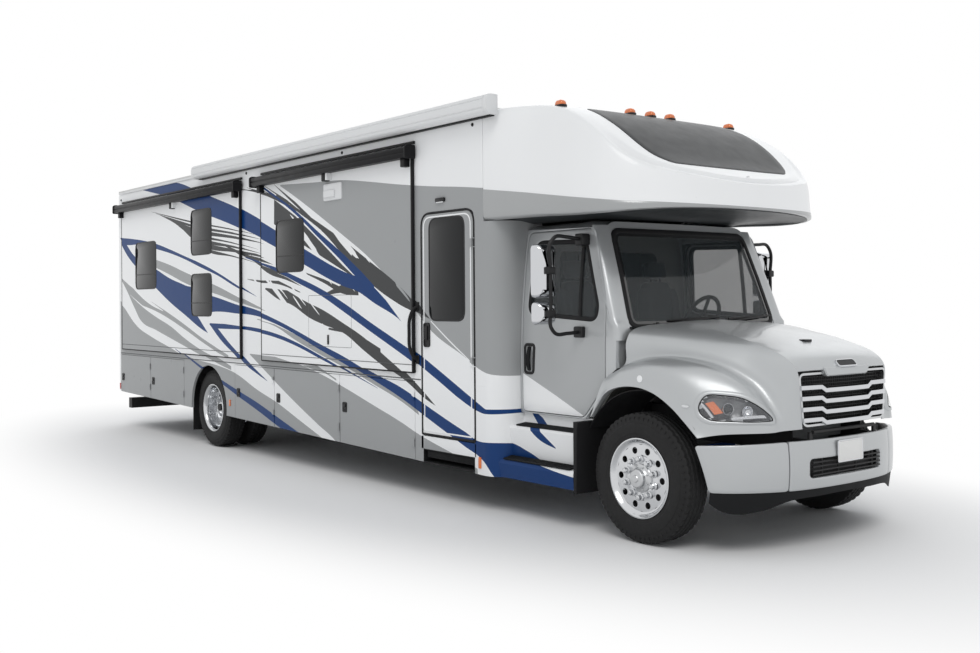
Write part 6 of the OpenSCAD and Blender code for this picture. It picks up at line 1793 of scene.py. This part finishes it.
foot_lines = [block((-7.50, -1.335, 3.380), (-1.54, -1.284, 3.392), 0.003)]
domes = [lathe([(0.0001, -0.012), (0.010, -0.010), (0.016, -0.003), (0.017, 0.001), (0.0001, 0.001)], (x, -1.2825, 3.348), "y", 20)
         for x in (-10.40, -6.25, -4.05, -1.85)]
make("awning_foot_line", foot_lines + [both(q) for q in domes], AWNING_BLACK, "chassis")
gutter = [(-1.281, 3.452), (-1.281, 3.428), (-1.292, 3.424), (-1.297, 3.430), (-1.297, 3.452), (-1.292, 3.456)]
make("gutters", [plate(rounded_outline(gutter, 0.002, 3), "x", -10.44, -7.56, 0.002), mirrored(plate(rounded_outline(gutter, 0.002, 3), "x", -10.44, -1.72, 0.002))],
     MOULDED, "chassis")

# %% [markdown]
# ## Entry door, handles, latches and small lamps

# %% Entry door
door_frame = dense(rounded_outline([(-2.651, 0.585), (-1.832, 0.585), (-1.832, 2.632), (-2.651, 2.632)], [0.02, 0.02, 0.14, 0.14], 9), 0.2)
make("entry_door_seal", panel(door_frame, inset(door_frame, 0.020), side_at(HALF_W), 0.012, 3, rim=0.005, raised=0.006), RUBBER, "chassis")
pane_o = rectangle(-2.52, 1.64, -1.98, 2.57, 0.105, 12)
make("entry_door_pane", plate(inset(pane_o, 0.002), "y", -HALF_W - 0.001, -HALF_W + 0.010, 0.002), GLASS_DARK, "entry_door",
     replaces="entry_door_glass")
inner_frame = rounded_outline([(-2.612, 0.62), (-1.885, 0.62), (-1.885, 2.592), (-2.612, 2.592)], [0.02, 0.02, 0.11, 0.11], 9)
make("entry_door_trim", [panel(inset(pane_o, -0.006), inset(pane_o, 0.008), side_at(HALF_W), 0.010, 3, rim=0.003, raised=0.003)],
     BLACK, "entry_door")
edge_trim = panel(inner_frame, inset(inner_frame, 0.014), side_at(HALF_W), 0.006, 3, rim=0.003, raised=0.0035)
make("entry_door_edge", edge_trim, GELCOAT, "entry_door")
lock = rectangle(-2.606, 1.395, -2.508, 1.620, 0.030, 7)
make("entry_door_lock", [panel(lock, inset(lock, 0.014), side_at(HALF_W), 0.014, 3, rim=0.005, raised=0.014), plate(inset(lock, 0.010), "y", -HALF_W - 0.008, -HALF_W + 0.002, 0.002),
     block((-2.580, -1.304, 1.46), (-2.535, -1.288, 1.590), 0.007)], BLACK, "entry_door")
grab = spline([(-2.705, -1.284, 1.275), (-2.712, -1.325, 1.30), (-2.728, -1.352, 1.36), (-2.738, -1.360, 1.52), (-2.728, -1.352, 1.68), (-2.712, -1.325, 1.745),
               (-2.705, -1.284, 1.770)], 50)
grab_feet = [block((-2.728, -1.296, z - 0.04), (-2.682, -1.280, z + 0.04), 0.006) for z in (1.275, 1.770)]
make("grab_handle", [tube(grab, 0.016, 14)] + grab_feet, RUBBER, "chassis")
porch = rectangle(-2.395, 2.712, -2.255, 2.750, 0.018, 7)
make("porch_lamp", [plate(porch, "y", -HALF_W - 0.022, -HALF_W + 0.001, 0.006)], BLACK, "chassis")
make("porch_lens", [block((-2.375, -HALF_W - 0.0215, 2.704), (-2.275, -HALF_W - 0.004, 2.714), 0.003)], MOULDED, "chassis")
sill = block((-2.664, -1.2825, 0.455), (-1.832, -1.268, 0.578), 0.004)
make("entry_sill", sill, LIVERY, "chassis")
box_face = dense(rounded_outline([(-2.640, 0.330), (-1.850, 0.330), (-1.850, 0.462), (-2.640, 0.462)], 0.012, 4), 0.1)
make("step_box", [panel(box_face, inset(box_face, 0.014), side_at(1.270), 0.22, 4, rim=0.004, raised=0.012)], PLASTIC, "chassis")
make("entry_step_front", [block((-2.585, -1.262, 0.386), (-1.895, -1.252, 0.440), 0.005)] + [block((-2.57, -1.266, z), (-1.91, -1.260, z + 0.006), 0.002) for z in (0.398, 0.412, 0.426)],
     PLASTIC, "entry_step")

# %% Vent and hatch on the front slide-out
vent = rectangle(-4.36, 2.870, -4.00, 3.045, 0.018, 6)
make("slide_vent", [pane(vent, side_at(SLIDE_FACE), 0.020, 6, rim=0.008, raised=0.018), block((-4.335, -1.348, 2.90), (-4.12, -1.330, 2.975), 0.008)], MOULDED,
     "slideout_right_front")
hatch = rectangle(-4.72, 1.35, -3.84, 1.89, 0.020, 5)
make("hatch_joint", [panel(hatch, inset(hatch, 0.004), side_at(SLIDE_FACE), 0.002, 3, raised=0.0006)], JOINT_LINE, "slideout_right_front")
make("hatch_catch", [block((-4.312, -1.326, 1.375), (-4.290, -1.3125, 1.475), 0.005)], BLACK, "slideout_right_front")

# %% Luggage door latches
def latch(x, z, side):
    """Paddle latch: a rounded plate with a raised rim, and a lever in it."""
    o = rectangle(x - 0.042, z - 0.052, x + 0.042, z + 0.052, 0.018, 7)
    parts = [panel(o, inset(o, 0.010), side_at(HALF_W), 0.010, 3, rim=0.004, raised=0.008),
             plate(inset(o, 0.008), "y", -HALF_W - 0.004, -HALF_W + 0.003, 0.001),
             block((x - 0.024, -HALF_W - 0.013, z - 0.004), (x + 0.024, -HALF_W - 0.002, z + 0.034), 0.005),
             lathe([(0.0001, -0.008), (0.009, -0.007), (0.011, -0.002), (0.011, 0.001), (0.0001, 0.001)], (x, -HALF_W, z - 0.028), "y", 18)]
    return [q if side < 0 else mirrored(q) for q in parts]


RIGHT_BAYS = [-10.447, -9.285, -6.60, -5.579, -4.131]
for i, b0 in enumerate(RIGHT_BAYS, 1):
    make("luggage_latch_right_%d" % i, latch(b0 + 0.100, 0.740, -1), BLACK, "baggage_door_right_%d" % i)
for i, b0 in enumerate([RIGHT_BAYS[0], RIGHT_BAYS[3], RIGHT_BAYS[4]], 1):
    make("luggage_latch_left_%d" % i, latch(b0 + 0.100, 0.740, 1), BLACK, "baggage_door_left_%d" % i)

# %% Side lamps, lines and flaps
def side_lamp(x, z, wide, high):
    o = rectangle(x - wide / 2, z - high / 2, x + wide / 2, z + high / 2, 0.3 * min(wide, high), 6)
    return plate(o, "y", -HALF_W - 0.012, -HALF_W + 0.001, 0.005)


make("side_marker_lenses", [both(side_lamp(-1.775, 0.42, 0.034, 0.10)), both(side_lamp(-6.735, 0.60, 0.034, 0.08))], AMBER, "chassis")
make("rear_side_lenses", [both(side_lamp(-10.465, 0.60, 0.034, 0.09))], RED, "chassis")
waist = [block((-10.44, -1.2865, 1.086), (-2.665, -1.281, 1.096), 0.002)]
make("waist_lines", [both(q) for q in waist], JOINT_LINE, "chassis")
flap = block((-7.975, -1.225, 0.16), (-7.962, -0.70, 0.74), 0.003)
ribs = [block((-7.980, y - 0.004, 0.19), (-7.974, y + 0.004, 0.70), 0.001) for y in np.linspace(-1.18, -0.75, 9)]
front_flap = plate(rounded_outline([(-0.646, 0.295), (-0.612, 0.295), (-0.604, 0.800), (-0.592, 0.862), (-0.646, 0.862)], 0.006, 3), "y", -1.236, -0.80, 0.003)
make("mud_flaps", [both(q) for q in [flap, front_flap] + ribs], RUBBER, "chassis")

# %% Step treads
def tread(x0, x1, y0, y1, z):
    """Black ribbed tread: a thin rounded plate with ribs along the vehicle."""
    base = block((x0, -y1, z - 0.004), (x1, -y0, z + 0.008), 0.004)
    lines = [block((x0 + 0.02, -y - 0.004, z + 0.006), (x1 - 0.02, -y + 0.004, z + 0.013), 0.002) for y in np.arange(y0 + 0.015, y1 - 0.01, 0.018)]
    studs = [block((x, -y1 + 0.01, z + 0.006), (x + 0.008, -y0 - 0.01, z + 0.011), 0.002) for x in np.arange(x0 + 0.05, x1 - 0.04, 0.09)]
    return join([base] + lines + studs)


upper = turned(tread(-1.45, -0.70, 1.050, 1.150, 0.768), 6.5, np.array([-1.0, -1.10, 0.765]), "x")
lower_tread = turned(tread(-1.52, -0.69, 1.140, 1.236, 0.486), 10.5, np.array([-1.0, -1.19, 0.482]), "x")
make("cab_step_treads", [both(upper), both(lower_tread)], PLASTIC, "chassis")
make("entry_step_tread", [tread(-2.58, -1.90, 0.93, 1.25, 0.434)], PLASTIC, "entry_step")

# %% [markdown]
# ## Roof and rear
#
# The two air conditioners get domed covers: a rounded outline that steps inwards as it rises. At the back are
# tall lamps in bright bezels, small markers under the roof line and a bare number plate.

# %% Roof units
def dome(outline, steps):
    """Closed cap over an outline in (x, y): each (size, z) of the steps is one ring, the outline scaled about its
    middle."""
    centre = outline.mean(0)
    rings = np.stack([np.column_stack([centre + (outline - centre) * k, np.full(len(outline), z)]) for k, z in steps])
    return capped(rings)


def roof_unit(x):
    o = rounded_outline([(x - 0.475, -0.325), (x + 0.30, -0.325), (x + 0.475, -0.20), (x + 0.475, 0.20), (x + 0.30, 0.325), (x - 0.475, 0.325)],
                        [0.08, 0.16, 0.12, 0.12, 0.16, 0.08], 8)
    return dome(o, [(1.0, 3.528), (1.0, 3.590), (0.99, 3.598), (0.99, 3.606), (1.0, 3.614), (0.965, 3.690), (0.91, 3.750), (0.82, 3.790), (0.68, 3.814), (0.40, 3.823),
                    (0.02, 3.824)])


units = [roof_unit(x) for x in (-3.60, -8.30)]
make("roof_unit_covers", units, MOULDED, "chassis", replaces="roof_units")
grilles = [block((x - 0.483, y, 3.62), (x - 0.455, y + 0.012, 3.70), 0.004) for x in (-3.60, -8.30) for y in np.linspace(-0.24, 0.23, 14)]
skirts_low = [ring(inset(rectangle(x - 0.475, -0.325, x + 0.475, 0.325, 0.08, 6), -0.004), 0.012, "z", 3.525, 3.545) for x in (-3.60, -8.30)]
make("roof_unit_grilles", grilles + skirts_low, BLACK, "chassis")
def roof_hatch(x, y, a, b):
    o = rectangle(x - a, y - b, x + a, y + b, 0.05, 6)
    return dome(o, [(1.08, 3.500), (1.08, 3.515), (1.0, 3.520), (1.0, 3.575), (0.95, 3.595), (0.82, 3.610), (0.5, 3.616), (0.02, 3.617)])


make("roof_hatches", [roof_hatch(-5.35, 0.42, 0.20, 0.20), roof_hatch(-6.65, -0.42, 0.20, 0.20), roof_hatch(-9.6, 0.30, 0.20, 0.20)], GELCOAT, "chassis")

# %% Rear lamps and plate
def rear_face(flat):
    """Rear wall as a function of (y, z), facing backwards."""
    return np.stack([np.full_like(flat[..., 0], REAR_X), -flat[..., 0], flat[..., 1]], -1)


lamp_o = rectangle(1.020, 0.800, 1.140, 1.150, 0.03, 8)
make("tail_lamp_bezels", both(panel(inset(lamp_o, -0.012), inset(lamp_o, 0.008), rear_face, 0.020, 3, rim=0.008, raised=0.014)), CHROME, "chassis",
     replaces="lamps")
def lens(z0, z1):
    o = rectangle(1.026, z0, 1.134, z1, 0.02, 7)
    return pane(o, rear_face, 0.02, 6, rim=0.008, raised=0.022)


make("tail_lamp_lenses", both(join([lens(0.806, 0.965), lens(1.030, 1.144)])), RED, "chassis")
make("reversing_lenses", both(lens(0.970, 1.025)), MOULDED, "chassis")
marks = [rectangle(y - 0.045, 3.375, y + 0.045, 3.410, 0.016, 7) for y in (-1.10, -0.15, 0.0, 0.15, 1.10)]
make("rear_marker_lenses", [pane(o, rear_face, 0.012, 5, rim=0.006, raised=0.016) for o in marks], RED, "chassis")
make("rear_number_plate", plate(rectangle(-0.152, 0.830, 0.152, 0.985, 0.010, 5), "x", REAR_X - 0.0165, REAR_X - 0.0115, 0.001), BLANK, "chassis")
plate_o = rectangle(-0.158, 0.824, 0.158, 0.991, 0.012, 5)
make("rear_plate_frame", [panel(plate_o, inset(plate_o, 0.012), rear_face, 0.012, 3, rim=0.003, raised=0.020),
                          panel(inset(rectangle(-0.075, 1.005, 0.075, 1.035, 0.01, 5), 0), inset(rectangle(-0.06, 1.01, 0.06, 1.03, 0.006, 5), 0), rear_face, 0.02, 2, raised=0.03)],
     BLACK, "chassis")
edge_o = rounded_outline([(-HALF_W, 0.535), (HALF_W, 0.535), (HALF_W, WALL_TOP), (-HALF_W, WALL_TOP)], 0.03, 5)
make("rear_edge_trim", panel(inset(edge_o, 0.002), inset(edge_o, 0.040), rear_face, 0.006, 3, rim=0.003, raised=0.004), GELCOAT, "chassis")
make("ladder_treads", [block((-10.632, 0.66, 1.01 + i * 0.2925 + 0.006), (-10.592, 0.92, 1.01 + i * 0.2925 + 0.017), 0.004) for i in range(9)], RUBBER, "chassis")

# %% [markdown]
# ## Seats
#
# A cushion is a superellipsoid: a sphere whose cosines and sines are raised to a small power, which squares it
# into a soft block, with a crown that lifts its middle. The two seats carry cloth, on a moulded base.

# %% Seats
def cushion(low, high, power=0.28, crown=0.02, up="z", around=56, rows=28):
    """Soft block between two corners: x, y and z are cosines and sines raised to a power, and the face that
    looks along up swells by crown in its middle."""
    low, high = np.array(low, float), np.array(high, float)
    centre, half = (low + high) / 2, (high - low) / 2
    u = np.linspace(-np.pi / 2, np.pi / 2, rows)[:, None]
    v = np.linspace(0, 2 * np.pi, around, endpoint=False)[None]
    def soft(a):
        return np.sign(a) * np.abs(a) ** power
    points = np.stack([soft(np.cos(u)) * soft(np.cos(v)), soft(np.cos(u)) * soft(np.sin(v)), soft(np.sin(u)) * np.ones_like(v)], -1)
    k = "xyz".index(up)
    others = [i for i in range(3) if i != k]
    bulge = np.clip(1 - points[..., others[0]] ** 2, 0, 1) * np.clip(1 - points[..., others[1]] ** 2, 0, 1)
    points = points * half
    points[..., k] += crown * bulge * np.sign(points[..., k])
    return capped(points[1:-1] + centre)


def seat(y0, y1):
    """Cushion, back with side bolsters, and headrest. The back leans by 12 degrees about its foot."""
    mid = (y0 + y1) / 2
    base = [cushion((-1.365, y0 + 0.07, 1.262), (-0.875, y1 - 0.07, 1.385), 0.30, 0.015),
            cushion((-1.360, y0 + 0.005, 1.265), (-0.865, y0 + 0.10, 1.398), 0.45, 0.006), cushion((-1.360, y1 - 0.10, 1.265), (-0.865, y1 - 0.005, 1.398), 0.45, 0.006)]
    foot = np.array([-1.31, mid, 1.38])
    back = [cushion((-1.365, y0 + 0.07, 1.385), (-1.265, y1 - 0.07, 1.985), 0.30, 0.012, "x"),
            cushion((-1.360, y0 + 0.005, 1.40), (-1.235, y0 + 0.105, 1.92), 0.5, 0.004, "x"), cushion((-1.360, y1 - 0.105, 1.40), (-1.235, y1 - 0.005, 1.92), 0.5, 0.004, "x"),
            cushion((-1.350, mid - 0.125, 2.010), (-1.262, mid + 0.125, 2.165), 0.38, 0.008, "x")]
    return base + [turned(q, -7, foot, "y") for q in back]


def seat_frame(y0, y1):
    mid = (y0 + y1) / 2
    pedestal = moulding(rectangle(-1.33, y0 + 0.02, -0.90, y1 - 0.02, 0.03, 5), "z", [(0.0, 1.042), (0.01, 1.08), (0.03, 1.16), (0.03, 1.22), (0.0, 1.245), (0.0, 1.258)])
    posts = [turned(rod((-1.305, mid + d, 1.95), (-1.305, mid + d, 2.06), 0.007, 12), -7, np.array([-1.31, mid, 1.38]), "y") for d in (-0.06, 0.06)]
    return [pedestal] + posts


for number, (y0, y1) in enumerate(((-0.74, -0.26), (0.26, 0.74)), 1):
    obj = make("seat_cushions_%d" % number, seat(y0, y1), CLOTH, "chassis", replaces="seats", sharp=70)
make("seat_frames", seat_frame(-0.74, -0.26) + seat_frame(0.26, 0.74), PLASTIC, "chassis")
wheel_at = np.array([-0.60, 0.5, 1.54]) + 0.245 * np.array([-math.sin(math.radians(65)), 0, math.cos(math.radians(65))])
rim = lathe([(0.210 + 0.0185 * math.cos(a), 0.0185 * math.sin(a)) for a in np.linspace(0, 2 * np.pi, 16, endpoint=False)], (0, 0, 0), "z", 64)
make("steering_wheel_grip", moved(turned(rim, -65, np.zeros(3), "y"), wheel_at), RUBBER, "chassis")

# %% [markdown]
# ## Pieces made
#
# The last cell prints how many pieces were made and how many faces they have.

# %% Count of pieces and faces
print("pieces", len(PIECES), "faces", sum(PIECES.values()))
